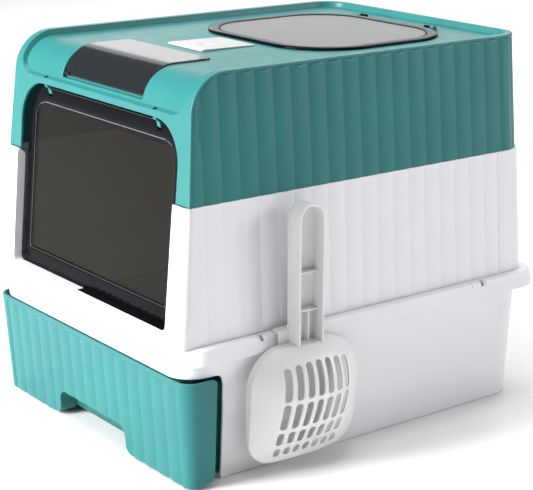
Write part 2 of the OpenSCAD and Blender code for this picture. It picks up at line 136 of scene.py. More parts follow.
SLOT_MAT = {"teal_plastic": TEAL, "white_plastic": WHITE, "smoke_plastic": SMOKE, "pin_plastic": DARK,
            "latch_plastic": LATCH, "scoop_plastic": GREYSC}
for sp in frame["record"]["subparts"]:
    o = NODES[sp["node"]]
    o.data.materials.clear()
    o.data.materials.append(SLOT_MAT[sp["material_slot"]])
    if sp["node"] in ("door_hinge_hooks", "hatch_hinge_lugs", "door_hinge_rod", "hatch_hinge_pins", "window_hinge_pins", "drawer_glides", "latch_retainer"):
        bv = o.modifiers.new("soft_edges", "BEVEL")
        bv.width, bv.segments, bv.limit_method, bv.angle_limit = 0.0004, 2, "ANGLE", math.radians(50)
        wn = o.modifiers.new("even_shading", "WEIGHTED_NORMAL")
        wn.keep_sharp = True

# ---------------------------------------------------------------- stage
def floor():
    me = bpy.data.meshes.new("studio_floor")
    bm = bmesh.new()
    n, half = 8, 14.0
    vs = [[bm.verts.new((-half + 2 * half * i / n, -half + 2 * half * j / n, -0.0002)) for i in range(n + 1)] for j in range(n + 1)]
    for j in range(n):
        for i in range(n):
            bm.faces.new((vs[j][i], vs[j][i + 1], vs[j + 1][i + 1], vs[j + 1][i]))
    bm.to_mesh(me); bm.free()
    o = bpy.data.objects.new("studio_floor", me)
    bpy.context.scene.collection.objects.link(o)
    m, nt, b = material("floor_paper")
    c = ramp(nt, noise(nt, 1.5, 1.0), [(0.3, (0.76, 0.76, 0.76)), (0.7, (0.775, 0.775, 0.775))])
    nt.links.new(c, b.inputs["Base Color"])
    b.inputs["Roughness"].default_value = 0.9
    b.inputs["Specular IOR Level"].default_value = 0.1
    # far from the lamps the sweep glows a little, so that it stays pale out to the horizon
    g = nt.nodes.new("ShaderNodeNewGeometry")
    ln = nt.nodes.new("ShaderNodeVectorMath"); ln.operation = "LENGTH"
    mr = nt.nodes.new("ShaderNodeMapRange")
    for k, v in ((1, 2.4), (2, 7.0), (3, 0.0), (4, 0.72)):
        mr.inputs[k].default_value = v
    nt.links.new(g.outputs["Position"], ln.inputs[0])
    nt.links.new(ln.outputs["Value"], mr.inputs[0])
    nt.links.new(mr.outputs[0], b.inputs["Emission Strength"])
    b.inputs["Emission Color"].default_value = (1, 1, 1, 1)
    me.materials.append(m)


def area(name, pos, target, size, size_y, power, col=(1, 1, 1)):
    l = bpy.data.lights.new(name, "AREA")
    l.shape = "RECTANGLE"
    l.size, l.size_y, l.energy, l.color = size, size_y, power, col
    o = bpy.data.objects.new(name, l)
    o.location = pos
    o.rotation_euler = (Vector(target) - Vector(pos)).to_track_quat("-Z", "Y").to_euler()
    bpy.context.scene.collection.objects.link(o)
    return o


def stage():
    floor()
    w = bpy.data.worlds.new("studio")
    bpy.context.scene.world = w
    w.use_nodes = True
    bg = w.node_tree.nodes["Background"]
    bg.inputs[0].default_value = (1, 1, 1, 1)
    bg.inputs[1].default_value = 0.27
    # the backdrop itself is pale, the light that it gives is soft
    pale = w.node_tree.nodes.new("ShaderNodeBackground")
    pale.inputs[0].default_value = (1, 1, 1, 1)
    pale.inputs[1].default_value = 0.86
    ray = w.node_tree.nodes.new("ShaderNodeLightPath")
    mix = w.node_tree.nodes.new("ShaderNodeMixShader")
    w.node_tree.links.new(ray.outputs["Is Camera Ray"], mix.inputs[0])
    w.node_tree.links.new(bg.outputs[0], mix.inputs[1])
    w.node_tree.links.new(pale.outputs[0], mix.inputs[2])
    w.node_tree.links.new(mix.outputs[0], w.node_tree.nodes["World Output"].inputs[0])
    key = area("key", (-0.55, -3.2, 1.3), (0, 0, 0.2), 1.2, 1.6, 272)
    # the scoop hangs in the box's own shade, so the key leaves it out
    shade = bpy.data.collections.new("key_receivers")
    shade.objects.link(bpy.data.objects["scoop_body"])
    shade.collection_objects[0].light_linking.link_state = "EXCLUDE"
    key.light_linking.receiver_collection = shade
    area("overhead", (-0.3, -0.2, 3.2), (0, 0, 0.2), 2.4, 2.4, 86)
    area("veil", (-2.4, 1.9, 1.45), (0, 0, 0.4), 2.6, 1.4, 12.5)
    area("veil_low", (-2.35, 1.0, 1.0), (0, 0, 0.4), 0.9, 0.6, 1.3)
    area("far", (-1.5, 3.2, 2.8), (-1.5, 3.3, 0), 2.4, 2.4, 75)
    area("front", (0.9, -3.3, 1.0), (0, 0, 0.2), 1.2, 1.0, 4)
    area("side", (2.5, 2.6, 1.3), (0, 0, 0.2), 0.9, 0.9, 45)
    sc = bpy.context.scene
    sc.view_settings.view_transform = "Standard"
    sc.view_settings.look = "None"
    sc.view_settings.exposure = 0
    sc.view_settings.gamma = 1
    cam = bpy.data.cameras.new("camera")
    co = bpy.data.objects.new("camera", cam)
    sc.collection.objects.link(co)
    az, el, roll = math.radians(52.87), math.radians(16.22), math.radians(0.19)
    back = Vector((math.sin(az) * math.cos(el), -math.cos(az) * math.cos(el), math.sin(el)))
    co.location = (1.46187, -1.10979, 0.7133)
    rot = back.to_track_quat("Z", "Y").to_matrix()
    co.rotation_euler = (rot @ Matrix.Rotation(roll, 3, "Z")).to_euler()
    cam.sensor_fit = "HORIZONTAL"
    cam.sensor_width = 36
    cam.lens = 1620.38 / 533 * 36
    cam.clip_start, cam.clip_end = 0.05, 60
    sc.camera = co


# ---------------------------------------------------------------- mesh tools (millimetres)
def A(*p):
    return np.array(p, float)


def arc2(cx, cy, r, a0, a1, n):
    t = np.radians(np.linspace(a0, a1, n + 1))
    return np.stack([cx + r * np.cos(t), cy + r * np.sin(t)], 1)


def densify(loop, step):
    """Closed 2-D loop with extra points so that no side is longer than step."""
    out = []
    n = len(loop)
    for i in range(n):
        p, q = loop[i], loop[(i + 1) % n]
        k = max(1, int(math.ceil(np.hypot(*(q - p)) / step)))
        for j in range(k):
            out.append(p + (q - p) * j / k)
    out = np.array(out)
    keep = np.hypot(*(out - np.roll(out, 1, 0)).T) > 1e-4
    return out[keep]


def rrect(x0, x1, y0, y1, r, n=8):
    """Rounded rectangle, counter-clockwise; r is one radius or (low-left, low-right, high-right, high-left)."""
    if not hasattr(r, "__len__"):
        r = (r,) * 4
    a, b, c, d = r
    return np.concatenate([arc2(x0 + a, y0 + a, a, 180, 270, n), arc2(x1 - b, y0 + b, b, 270, 360, n),
                           arc2(x1 - c, y1 - c, c, 0, 90, n), arc2(x0 + d, y1 - d, d, 90, 180, n)])


def outward(loop):
    """Unit-scaled mitre direction pointing away from the material, which lies to the left of travel."""
    d = np.roll(loop, -1, 0) - loop
    d /= np.maximum(np.hypot(*d.T)[:, None], 1e-9)
    nr = np.stack([d[:, 1], -d[:, 0]], 1)
    a, b = np.roll(nr, 1, 0), nr
    m = a + b
    l = np.maximum(np.hypot(*m.T)[:, None], 1e-6)
    unit = m / l
    k = np.clip(1 / np.maximum((unit * b).sum(1), 0.3), 1, 1.6)
    return unit * k[:, None], unit


def inside(pts, loops):
    res = np.zeros(len(pts), bool)
    for c in range(0, len(pts), 4000):
        p = pts[c:c + 4000]
        cnt = np.zeros(len(p), int)
        for lp in loops:
            q0, q1 = lp, np.roll(lp, -1, 0)
            y0, y1 = q0[None, :, 1], q1[None, :, 1]
            hit = (y0 > p[:, 1:2]) != (y1 > p[:, 1:2])
            with np.errstate(divide="ignore", invalid="ignore"):
                xx = q0[None, :, 0] + (p[:, 1:2] - y0) * (q1[None, :, 0] - q0[None, :, 0]) / (y1 - y0)
            cnt += (hit & (xx > p[:, 0:1])).sum(1)
        res[c:c + 4000] = cnt % 2 == 1
    return res


def edge_distance(pts, loops):
    best = np.full(len(pts), 1e9)
    for c in range(0, len(pts), 4000):
        p = pts[c:c + 4000]
        for lp in loops:
            q0, d = lp, np.roll(lp, -1, 0) - lp
            l2 = np.maximum((d * d).sum(1), 1e-12)
            w = p[:, None, :] - q0[None]
            t = np.clip((w * d[None]).sum(2) / l2[None], 0, 1)
            e = w - t[..., None] * d[None]
            best[c:c + 4000] = np.minimum(best[c:c + 4000], np.sqrt((e * e).sum(2)).min(1))
    return best


def make(name, V, F, mat, N=None, body=None, repl=()):
    me = bpy.data.meshes.new(name)
    me.from_pydata((np.asarray(V) * MM).tolist(), [], [tuple(int(i) for i in f) for f in F])
    me.polygons.foreach_set("use_smooth", np.ones(len(me.polygons), bool))
    for mt in (mat if isinstance(mat, (list, tuple)) else [mat]):
        me.materials.append(mt)
    if N is not None:
        N = np.asarray(N, float)
        N = N / np.maximum(np.linalg.norm(N, axis=1)[:, None], 1e-9)
        me.normals_split_custom_set_from_vertices(N.tolist())
    me.update()
    o = bpy.data.objects.new(name, me)
    bpy.context.scene.collection.objects.link(o)
    if N is None:
        w = o.modifiers.new("even_shading", "WEIGHTED_NORMAL")
        w.mode = "FACE_AREA"
        w.weight = 60
        w.keep_sharp = True
    if body:
        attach(o, body)
    if repl:
        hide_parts(*repl)
    return o


class Parts:
    """Collects several closed shells into one mesh."""
    def __init__(self):
        self.V, self.N, self.F, self.k = [], [], [], 0

    def add(self, V, F, N):
        self.V.append(V); self.N.append(N)
        self.F += [tuple(i + self.k for i in f) for f in F]
        self.k += len(V)
        return self

    def make(self, name, mat, body, slot, repl=()):
        return make(name, np.concatenate(self.V), self.F, mat, np.concatenate(self.N), body, repl)


def jac_normal(Q, u, v, h, pn):
    e = 0.02
    a = Q(u + e, v, h) - Q(u - e, v, h)
    b = Q(u, v + e, h) - Q(u, v - e, h)
    c = Q(u, v, h + e) - Q(u, v, h - e)
    bc, ca, ab = np.cross(b, c), np.cross(c, a), np.cross(a, b)
    det = (ab * c).sum(1)
    n = pn[:, 0:1] * bc + pn[:, 1:2] * ca + pn[:, 2:3] * ab
    n *= np.sign(det)[:, None]
    return n / np.maximum(np.linalg.norm(n, axis=1)[:, None], 1e-12), np.sign(np.median(det))


def tidy_loop(lp, r):
    """Drops points that the rounded edge would fold over itself; says which points stay."""
    keep = np.arange(len(lp))
    for _ in range(60):
        q = lp[keep]
        inn = q - outward(q)[0] * r
        e, f = np.roll(q, -1, 0) - q, np.roll(inn, -1, 0) - inn
        bad = np.where((e * f).sum(1) < 0.05 * (e * e).sum(1))[0]
        if not len(bad):
            break
        d0, d1 = q - np.roll(q, 1, 0), e
        turn = np.abs(np.cross(d0, d1)) / np.maximum(np.hypot(*d0.T) * np.hypot(*d1.T), 1e-12)
        drop, blocked = [], set()
        for b in bad:
            c = (b + 1) % len(q)
            w = b if turn[b] < turn[c] else c
            if w not in blocked:
                drop.append(w)
                blocked |= {(w - 1) % len(q), w, (w + 1) % len(q)}
        keep = np.delete(keep, drop)
    return lp[keep], keep


def sheet(loops, P, front, back, r=1.0, rb=0.4, us=(), vs=(), margin=1.2, lines=(), flange=None, points=None, K=3):
    """Closed sheet with rounded edges. loops: outer counter-clockwise, holes clockwise, in the flat (u, v) plane.
    P(u, v, n) bends it, front and back give n of the two faces. lines: extra polylines that the triangles follow.
    flange: one array per loop or None, depth of the lip turned inwards at each point (0 = plain edge)."""
    fr = front if callable(front) else (lambda u, v: np.full(len(u), float(front)))
    bk = back if callable(back) else (lambda u, v: np.full(len(u), float(back)))
    QF = lambda u, v, h: P(u, v, fr(u, v) + h)
    QB = lambda u, v, h: P(u, v, bk(u, v) + h)
    tidy, keepers = [], []
    for lp in loops:
        lp, keep = tidy_loop(np.asarray(lp, float), max(r, rb))
        tidy.append(lp); keepers.append(keep)
    loops = tidy
    if flange is not None:
        flange = [None if f is None else np.asarray(f, float)[k_] for f, k_ in zip(flange, keepers)]
    mit = [outward(lp) for lp in loops]
    inner = [lp - m[0] * r for lp, m in zip(loops, mit)]
    pts = [np.concatenate(inner)]
    edges, k = [], 0
    spans = []
    for lp in inner:
        n = len(lp)
        spans.append((k, n))
        edges += [(k + i, k + (i + 1) % n) for i in range(n)]
        k += n
    if lines:
        for ln, closed in lines:
            n = len(ln)
            pts.append(ln)
            edges += [(k + i, k + (i + 1) % n) for i in range(n if closed else n - 1)]
            k += n
    lat = []
    if len(us) and len(vs):
        uu, vv = np.meshgrid(us, vs)
        lat.append(np.stack([uu.ravel(), vv.ravel()], 1))
    if points is not None:
        lat.append(points)
    if lat:
        lat = np.concatenate(lat)
        lat = lat[inside(lat, inner)]
        lat = lat[edge_distance(lat, inner) > margin]
        if lines:
            lat = lat[edge_distance(lat, [ln if cl else np.concatenate([ln, ln[::-1]]) for ln, cl in lines]) > 0.25]
        pts.append(lat)
    pts = np.concatenate(pts)
    vc, _, fc, ov, _, _ = delaunay_2d_cdt([Vector(p) for p in pts], edges, [], 0, 1e-5)
    uv = np.array([tuple(p) for p in vc])
    idx = {}
    for i, src in enumerate(ov):
        for s_ in src:
            idx[s_] = i
    tri = np.array([f for f in fc if len(f) == 3])
    cen = uv[tri].mean(1)
    ar = np.cross(uv[tri[:, 1]] - uv[tri[:, 0]], uv[tri[:, 2]] - uv[tri[:, 0]])
    tri[ar < 0] = tri[ar < 0][:, ::-1]
    ok = inside(cen, inner) & (np.abs(ar) > 1e-7)
    tri = tri[ok]
    used = np.unique(tri)
    remap = -np.ones(len(uv), int)
    remap[used] = np.arange(len(used))
    tri = remap[tri]
    uv = uv[used]
    n0 = len(uv)
    bu = uv.copy()
    V = [QF(uv[:, 0], uv[:, 1], np.zeros(n0))]
    Nf, sg = jac_normal(QF, uv[:, 0], uv[:, 1], np.zeros(n0), np.tile(A(0, 0, 1), (n0, 1)))
    N = [Nf]
    F = [tuple(t) for t in tri] if sg > 0 else [tuple(t[::-1]) for t in tri]
    rings = []
    total = 2 * n0
    back_rows = {}
    for li, (lp, (mm_, un), (k0, cnt)) in enumerate(zip(loops, mit, spans)):
        ids = np.array([remap[idx[k0 + i]] for i in range(cnt)])
        assert ids.min() >= 0, "an edge of the sheet crosses itself"
        fl = np.zeros(cnt) if flange is None or flange[li] is None else np.asarray(flange[li], float)
        on = fl > 0
        T = fr(lp[:, 0], lp[:, 1]) - bk(lp[:, 0], lp[:, 1])
        t, q = 2.4, 0.8
        rows = []          # (off array, h array, ref, n_off array, n_h array)
        z1 = np.zeros(cnt)
        for th in np.linspace(0, 90, K + 1)[1:]:
            s_, c_ = math.sin(math.radians(th)), math.cos(math.radians(th))
            rows.append((z1 - r + r * s_, z1 - r + r * c_, "f", z1 + s_, z1 + c_))
        plain_h = lambda f: -r + (-(T - rb) + r) * f      # along the plain side wall, measured from the front
        D = np.where(on, fl, 10.0)
        seq = [(0.0, -D + q, 1, 0, 0.34), (-0.3 * q, -D + 0.3 * q, .7, -.7, 0.67), (-t + 0.3 * q, -D + 0.3 * q, -.7, -.7, None),
               (-t, -D + q, -1, 0, None), (-t, None, -1, 0, None)]
        ths = [90, 60, 30]
        for j, (o_, h_, no, nh, f) in enumerate(seq):
            hf = (-T - 1.0) if h_ is None else h_
            if f is not None:
                po, ph, pno, pnh = z1, plain_h(f), z1 + 1, z1
            else:
                th = math.radians(ths[j - 2])
                po = z1 - rb + rb * math.sin(th)
                ph = -T + rb - rb * math.cos(th)
                pno, pnh = z1 + math.sin(th), z1 - math.cos(th)
            rows.append((np.where(on, o_, po), np.where(on, hf, ph), "f", np.where(on, no, pno), np.where(on, nh, pnh)))
        prev = ids
        for off, h, ref, no, nh in rows:
            q2 = lp + mm_ * off[:, None]
            pn = np.concatenate([un * no[:, None], nh[:, None]], 1)
            V.append(QF(q2[:, 0], q2[:, 1], h))
            N.append(jac_normal(QF, q2[:, 0], q2[:, 1], h, pn)[0])
            cur = np.arange(total, total + cnt)
            total += cnt
            rings.append((prev, cur))
            prev = cur
        last = ids + n0
        rings.append((prev, last))
        bu[ids] = lp + mm_ * np.where(on, -t - 1.0, -rb)[:, None]
    Vb = QB(bu[:, 0], bu[:, 1], np.zeros(n0))
    Nb, _ = jac_normal(QB, bu[:, 0], bu[:, 1], np.zeros(n0), np.tile(A(0, 0, -1), (n0, 1)))
    V.insert(1, Vb); N.insert(1, Nb)
    F += [tuple(i + n0 for i in f[::-1]) for f in F]
    for a, b in rings:
        a2, b2 = np.roll(a, -1), np.roll(b, -1)
        for i in range(len(a)):
            f = (a[i], b[i], b2[i], a2[i])
            F.append(f if sg > 0 else f[::-1])
    return np.concatenate(V), F, np.concatenate(N)


def loft(rings, closed=False, cap0=True, cap1=True):
    """Quads between rings of equal length, flat caps at the ends."""
    n = len(rings[0])
    V = np.concatenate(rings)
    F = []
    m = len(rings)
    for j in range(m if closed else m - 1):
        a, b = j * n, ((j + 1) % m) * n
        for i in range(n):
            k = (i + 1) % n
            F.append((a + i, a + k, b + k, b + i))
    if not closed:
        if cap0:
            F.append(tuple(range(n))[::-1])
        if cap1:
            F.append(tuple(range((m - 1) * n, m * n)))
    return V, F


def volume_sign(V, F):
    s = 0.0
    for f in F:
        p0 = V[f[0]]
        for i in range(1, len(f) - 1):
            s += np.dot(p0, np.cross(V[f[i]], V[f[i + 1]]))
    return s


class Path:
    """Plan path of lines and arcs, travelled counter-clockwise; outward is to the right of travel."""
    def __init__(self, segs):
        self.segs, self.len = segs, []
        for s in segs:
            self.len.append(np.hypot(*(A(*s[2]) - A(*s[1]))) if s[0] == "L" else s[2] * math.radians(abs(s[4] - s[3])))
        self.cum = np.concatenate([[0], np.cumsum(self.len)])
        self.total = self.cum[-1]

    def at(self, seg, t):
        s = self.segs[seg]
        if s[0] == "L":
            p, q = A(*s[1]), A(*s[2])
            d = (q - p) / max(np.hypot(*(q - p)), 1e-9)
            return p + (q - p) * t[:, None], np.tile(A(d[1], -d[0]), (len(t), 1))
        _, c, r, a0, a1 = s
        a = np.radians(a0 + (a1 - a0) * t)
        n = np.stack([np.cos(a), np.sin(a)], 1)
        return A(*c) + r * n, n

    def locate(self, u):
        i = np.clip(np.searchsorted(self.cum, u, side="right") - 1, 0, len(self.segs) - 1)
        return i, (u - self.cum[i]) / np.maximum(np.array(self.len)[i], 1e-9)


def wall(segs_a, za, segs_b, zb):
    """P(u, v, n) of a tapered wall between outline a at height za and outline b at zb; u is the length along a, v the height."""
    pa, pb = Path(segs_a), Path(segs_b)

    def P(u, v, n):
        u, v, n = np.atleast_1d(u).astype(float), np.atleast_1d(v), np.atleast_1d(n)
        i, t = pa.locate(u)
        p, q, m = np.zeros((len(u), 2)), np.zeros((len(u), 2)), np.zeros((len(u), 2))
        for k in np.unique(i):
            s = i == k
            p[s], m[s] = pa.at(k, t[s])
            q[s], _ = pb.at(k, t[s])
        w = ((v - za) / (zb - za))[:, None]
        xy = p * (1 - w) + q * w + m * n[:, None]
        return np.concatenate([xy, v[:, None]], 1)
    P.path = pa
    return P


def rr_segs(hx, y0, y1, r0, r1, part):
    """Rounded rectangle from (-hx, y0) to (hx, y1) as path segments, r0 at the front corners and r1 at the rear.
    part: 'back' = from the front right end round the rear to the front left end, 'front' = the front and its wings,
    'ring' = all round, starting at the middle of the right side."""
    R = ("L", (hx, y0), (hx, y1 - r1))
    back = [("L", (hx, y0), (hx, y1 - r1)), ("A", (hx - r1, y1 - r1), r1, 0, 90), ("L", (hx - r1, y1), (-hx + r1, y1)),
            ("A", (-hx + r1, y1 - r1), r1, 90, 180), ("L", (-hx, y1 - r1), (-hx, y0))]
    if part == "back":
        return back
    if part == "front":
        return [("L", (-hx, y1), (-hx, y0 + r0)), ("A", (-hx + r0, y0 + r0), r0, 180, 270), ("L", (-hx + r0, y0), (hx - r0, y0)),
                ("A", (hx - r0, y0 + r0), r0, 270, 360), ("L", (hx, y0 + r0), (hx, y1))]
    return [("L", (hx, y0 + r0), (hx, y1 - r1))] + back[1:4] + [("L", (-hx, y1 - r1), (-hx, y0 + r0)), ("A", (-hx + r0, y0 + r0), r0, 180, 270),
            ("L", (-hx + r0, y0), (hx - r0, y0)), ("A", (hx - r0, y0 + r0), r0, 270, 360)]


def smooth01(t):
    t = np.clip(t, 0, 1)
    return t * t * (3 - 2 * t)


def steps(a, b, d):
    return np.linspace(a, b, max(2, int(round(abs(b - a) / d)) + 1))


def ident(u, v, n):
    return np.stack([u, v, n], 1)

# ---------------------------------------------------------------- lid
T0 = math.atan(0.085)
FY, CY, CZ, BR, TOPZ = -238.0, -186.4, 387.5, 44.0, 431.5
S1 = (CZ + BR * math.sin(T0) - 300) / math.cos(T0)
S2 = S1 + BR * (math.pi / 2 - T0)


def lid_P(u, s, n):
    u, s, n = np.atleast_1d(u).astype(float), np.atleast_1d(s).astype(float), np.atleast_1d(n).astype(float)
    ph = T0 + np.clip(s - S1, 0, S2 - S1) / BR
    y = CY - BR * np.cos(ph) + np.minimum(s - S1, 0) * math.sin(T0) + np.maximum(s - S2, 0)
    z = CZ + BR * np.sin(ph) + np.minimum(s - S1, 0) * math.cos(T0)
    return np.stack([u, y - np.cos(ph) * n, z + np.sin(ph) * n], 1)


def s_of_y(y):
    return S2 + (y - CY)


def s_of_z(z):
    z = np.asarray(z, float)
    a = np.arcsin(np.clip((z - CZ) / BR, -1, 1))
    return np.where(z < CZ + BR * math.sin(T0), (z - 300) / math.cos(T0), S1 + BR * (a - T0))


def lid_hw(s):
    return 184 - (lid_P(0 * s, s, 0 * s)[:, 2] - 300) * 9.7 / 131.5


REC = (163.0, float(s_of_z(388.6)), s_of_y(226.0), 20.0, 26.0)


def rec_sd(u, s):
    hx, a, b, r0, r1 = REC
    cy, hy = (a + b) / 2, (b - a) / 2
    r = np.where(s < cy, r0, r1)
    qx, qy = np.abs(u) - hx + r, np.abs(s - cy) - hy + r
    return np.hypot(np.maximum(qx, 0), np.maximum(qy, 0)) + np.minimum(np.maximum(qx, qy), 0) - r


def rec_depth(s):
    ph = T0 + np.clip(s - S1, 0, S2 - S1) / BR
    return 5 + 2 * np.sin(ph)


def lid_front(u, s):
    return -rec_depth(s) * smooth01((1.6 - rec_sd(u, s)) / 3.2)


def lid_cover():
    top = s_of_y(234.0)
    sr = np.concatenate([[0], steps(0.4, S1, 6)[0:], steps(S1, S2, 2.6)[1:], steps(S2, top - 36, 12)[1:]])
    right = np.stack([lid_hw(sr), sr], 1)
    rear = np.concatenate([arc2(138.3, top - 36, 36, 0, 90, 18)[1:], arc2(-138.3, top - 36, 36, 90, 180, 18)[:-1]])
    so = lambda z: (z - 300) / math.cos(T0)
    ow, orr, oz = 158.5, 44.0, 380.0
    up = [(-ow, 0.0), (-ow, 0.6)] + [(-ow, so(z)) for z in np.arange(306, oz - orr, 6)]
    nl = [(x, so(z)) for x, z in arc2(-ow + orr, oz - orr, orr, 180, 90, 18)]
    nr = [(x, so(z)) for x, z in arc2(ow - orr, oz - orr, orr, 90, 0, 18)]
    dn = [(ow, so(z)) for z in np.arange(oz - orr - 4, 301, -6)] + [(ow, 0.6), (ow, 0.0)]
    left = right[::-1] * A(-1, 1)
    loop = np.concatenate([[(-184.0, 0.0)], up, nl, nr, dn, right, rear, left[:-1]])
    keep = np.hypot(*(loop - np.roll(loop, 1, 0)).T) > 0.05
    loop = densify(loop[keep], 9)
    fl = np.where((np.abs(loop[:, 0]) < 158.9) & (loop[:, 1] > 0.3) & (loop[:, 1] < so(oz) + 0.2), 3.7, 0)
    hat = densify(rrect(-106, 106, s_of_y(77) - 95, s_of_y(77) + 95, 56, 14), 8)[::-1]
    win = densify(rrect(-80.8, 80.8, float(s_of_z(393.0)), s_of_y(-136.4), 2.0, 3), 4)[::-1]
    lines = []
    for t in (-1.6, -1.25, -0.9, -0.55, -0.2, 0.2, 0.55, 0.9, 1.25, 1.6):
        hx, a, b, r0, r1 = REC
        lines.append((densify(rrect(-hx - t, hx + t, a - t, b + t, (r0 + t, r0 + t, r1 + t, r1 + t), 10), 5), True))
    us = steps(-176, 176, 9)
    vs = np.concatenate([steps(6, S1, 10), steps(S1, S2, 3.2), steps(S2, top, 12)])
    V, F, N = sheet([loop, hat, win], lid_P, lid_front, lambda u, s: lid_front(u, s) - 3.0, r=1.5, rb=0.4, us=us, vs=vs,
                    margin=2.6, lines=lines, flange=[fl, None, None])
    return V, F, N


def prof_in(y, z):
    """How far a point lies inside the lid's outer side profile."""
    arc_ = BR - np.hypot(y - CY, z - CZ)
    line = (y - (FY + 0.085 * (z - 300))) * math.cos(T0)
    return np.where((y < CY) & (z > CZ + 0.085 * (CY - y) * 0 + BR * math.sin(T0) * 1.0), arc_, np.where(y < CY, np.minimum(line, TOPZ - z), TOPZ - z))


def reed_phase(d, pitch, brk, half):
    """Reeds of one pitch from the middle of the side to brk, then evenly to the middle of the rear."""
    n = round((half - brk) / pitch)
    return np.where(d < brk, d / pitch, brk / pitch + (d - brk) / ((half - brk) / n))


def reed_unphase(p, pitch, brk, half):
    n = round((half - brk) / pitch)
    return np.where(p < brk / pitch, p * pitch, brk + (p - brk / pitch) * (half - brk) / n)


def reed_cols(lo, hi, pitch, brk, half, cuts=(-0.5, -0.484, -0.42, -0.32, -0.22, -0.11, 0, 0.11, 0.22, 0.32, 0.42, 0.484)):
    ph = np.concatenate([k + np.array(cuts) for k in range(-14, 40)])
    d = reed_unphase(ph, pitch, brk, half)
    return np.unique(np.round(d[(d >= lo) & (d <= hi)], 4))


def reed_shape(ph):
    t = ph - np.round(ph)
    return (2 * t) ** 2


def lid_curtain():
    P = wall(rr_segs(184, -238, 237, 0, 36, "back"), 300.0, rr_segs(174.3, -238, 234, 0, 36, "back"), TOPZ)
    U = P.path.total
    half = U / 2 - 238
    dist = lambda u: np.minimum(u, U - u) - 238          # y on the sides, then on round the rear
    o = 2.3

    def fr(u, v):
        d = dist(u)
        ph = reed_phase(d, 23.0, 207.0, half)
        y = np.minimum(d, 190)
        below = prof_in(y, v) - 3.0
        end = np.clip(1 - below / 2.6, 0, 1) ** 2
        return -0.75 - 1.45 * reed_shape(ph) * (1 - end) - 1.1 * end
    cols = reed_cols(-238 + 6, half, 23.0, 207.0, half)
    uc = np.unique(np.round(np.concatenate([cols + 238, U - cols - 238]), 4))
    y0 = FY + o / math.cos(T0)
    prof = [(y0 + 0.085 * (z - 300), z) for z in np.arange(300, 390, 8.0)] + [
        (CY + (BR - o) * math.cos(a), CZ + (BR - o) * math.sin(a)) for a in np.radians(np.linspace(180 - 4.86, 90, 26))]
    prof = np.array(prof)
    bot = [(u, 300.0) for u in uc if prof[0, 0] + 238 + 1 < u < U - (prof[0, 0] + 238) - 1]
    topu = [u for u in uc if prof[-1, 0] + 238 + 1 < u < U - (prof[-1, 0] + 238) - 1]
    loop = [(prof[0, 0] + 238, 300.0)] + bot + [(U - (y + 238), z) for y, z in prof] + [(u, TOPZ - o) for u in topu[::-1]] + [(y + 238, z) for y, z in prof[::-1]][:-1]
    loop = np.array(loop)
    vs = np.concatenate([[301.2, 303.0], steps(312, 414, 17), [420.0, 423.4, 425.2, 426.4, 427.4, 428.2]])
    # extra points close under the brow
    pts = []
    for k in (0.8, 1.4, 2.1, 3.0, 4.4):
        for a in np.radians(np.linspace(175, 92, 30)):
            y, z = CY + (BR - o - k) * math.cos(a), CZ + (BR - o - k) * math.sin(a)
            pts += [(y + 238, z), (U - y - 238, z)]
        for z in np.arange(303, 389, 7.0):
            y = y0 + 0.085 * (z - 300) + k
            pts += [(y + 238, z), (U - y - 238, z)]
    return sheet([loop], P, fr, -4.3, r=0.35, rb=0.3, us=uc, vs=vs, margin=0.55, points=np.array(pts), K=2)


def lid_seat():
    """Seat of the window: a curved frame below the lid's surface."""
    wy, wz, R = -185.0, 390.5, 33.8
    a0 = math.asin((391.6 - wz) / R)
    sa, sb = R * a0, R * math.pi / 2

    def P(u, s, n):
        u, s, n = np.atleast_1d(u).astype(float), np.atleast_1d(s).astype(float), np.atleast_1d(n).astype(float)
        ph = np.clip(s, 0, sb) / R
        y = wy - R * np.cos(ph) + np.maximum(s - sb, 0)
        z = wz + R * np.sin(ph) + np.minimum(s, 0)
        return np.stack([u, y - np.cos(ph) * n, z + np.sin(ph) * n], 1)
    outer = densify(rrect(-87.5, 87.5, sa - 1, sb + 56, 3, 3), 5)
    z0 = R * math.asin((402 - wz) / R)
    hole = densify(rrect(-70, 70, z0, sb + 35, 5, 4), 5)[::-1]
    pts = []
    V, F, N = sheet([outer, hole], P, 0.0, -2.6, r=0.5, rb=0.4, us=steps(-84, 84, 8), vs=steps(sa, sb + 50, 4), margin=1.5)
    return V, F, N


def plate_box(x0, x1, y0, y1, z0, z1, r=0.6, rb=0.5, corner=1.5, n=4, body=None):
    V, F, N = sheet([rrect(x0, x1, y0, y1, corner, n)], ident, z1, z0, r=r, rb=rb, K=3)
    return V, F, N


def lid():
    p = Parts()
    p.add(*lid_cover())
    p.add(*lid_seat())
    # cheeks that tie the window's seat to the lid
    for s in (-1, 1):
        yz = np.array([(-223.6, 390.4), (-221.6, 400.0), (-216.5, 409.5), (-208.5, 417.0), (-198, 421.6), (-186, 423.2), (-131, 423.2), (-131, 419.8),
                       (-185, 419.3), (-197, 417), (-206, 411.5), (-212, 403.5), (-214, 390.4)])[::-1]
        Pm = lambda u, v, n, s=s: np.stack([s * 84.2 + n, u, v], 1)
        p.add(*sheet([densify(yz if True else yz, 6)], Pm, 2.6, -2.6, r=0.4, rb=0.4, K=2))
    cover = p.make("lid_cover", TEAL, "lid", "teal_plastic", ("lid_shell",))
    q = Parts()
    q.add(*lid_curtain())
    q.make("lid_walls", TEAL, "lid", "teal_plastic", ("lid_shell",))


# ---------------------------------------------------------------- white walls
def y_end(z):
    return -245.6 + (z - 155) * (10.4 / 145)


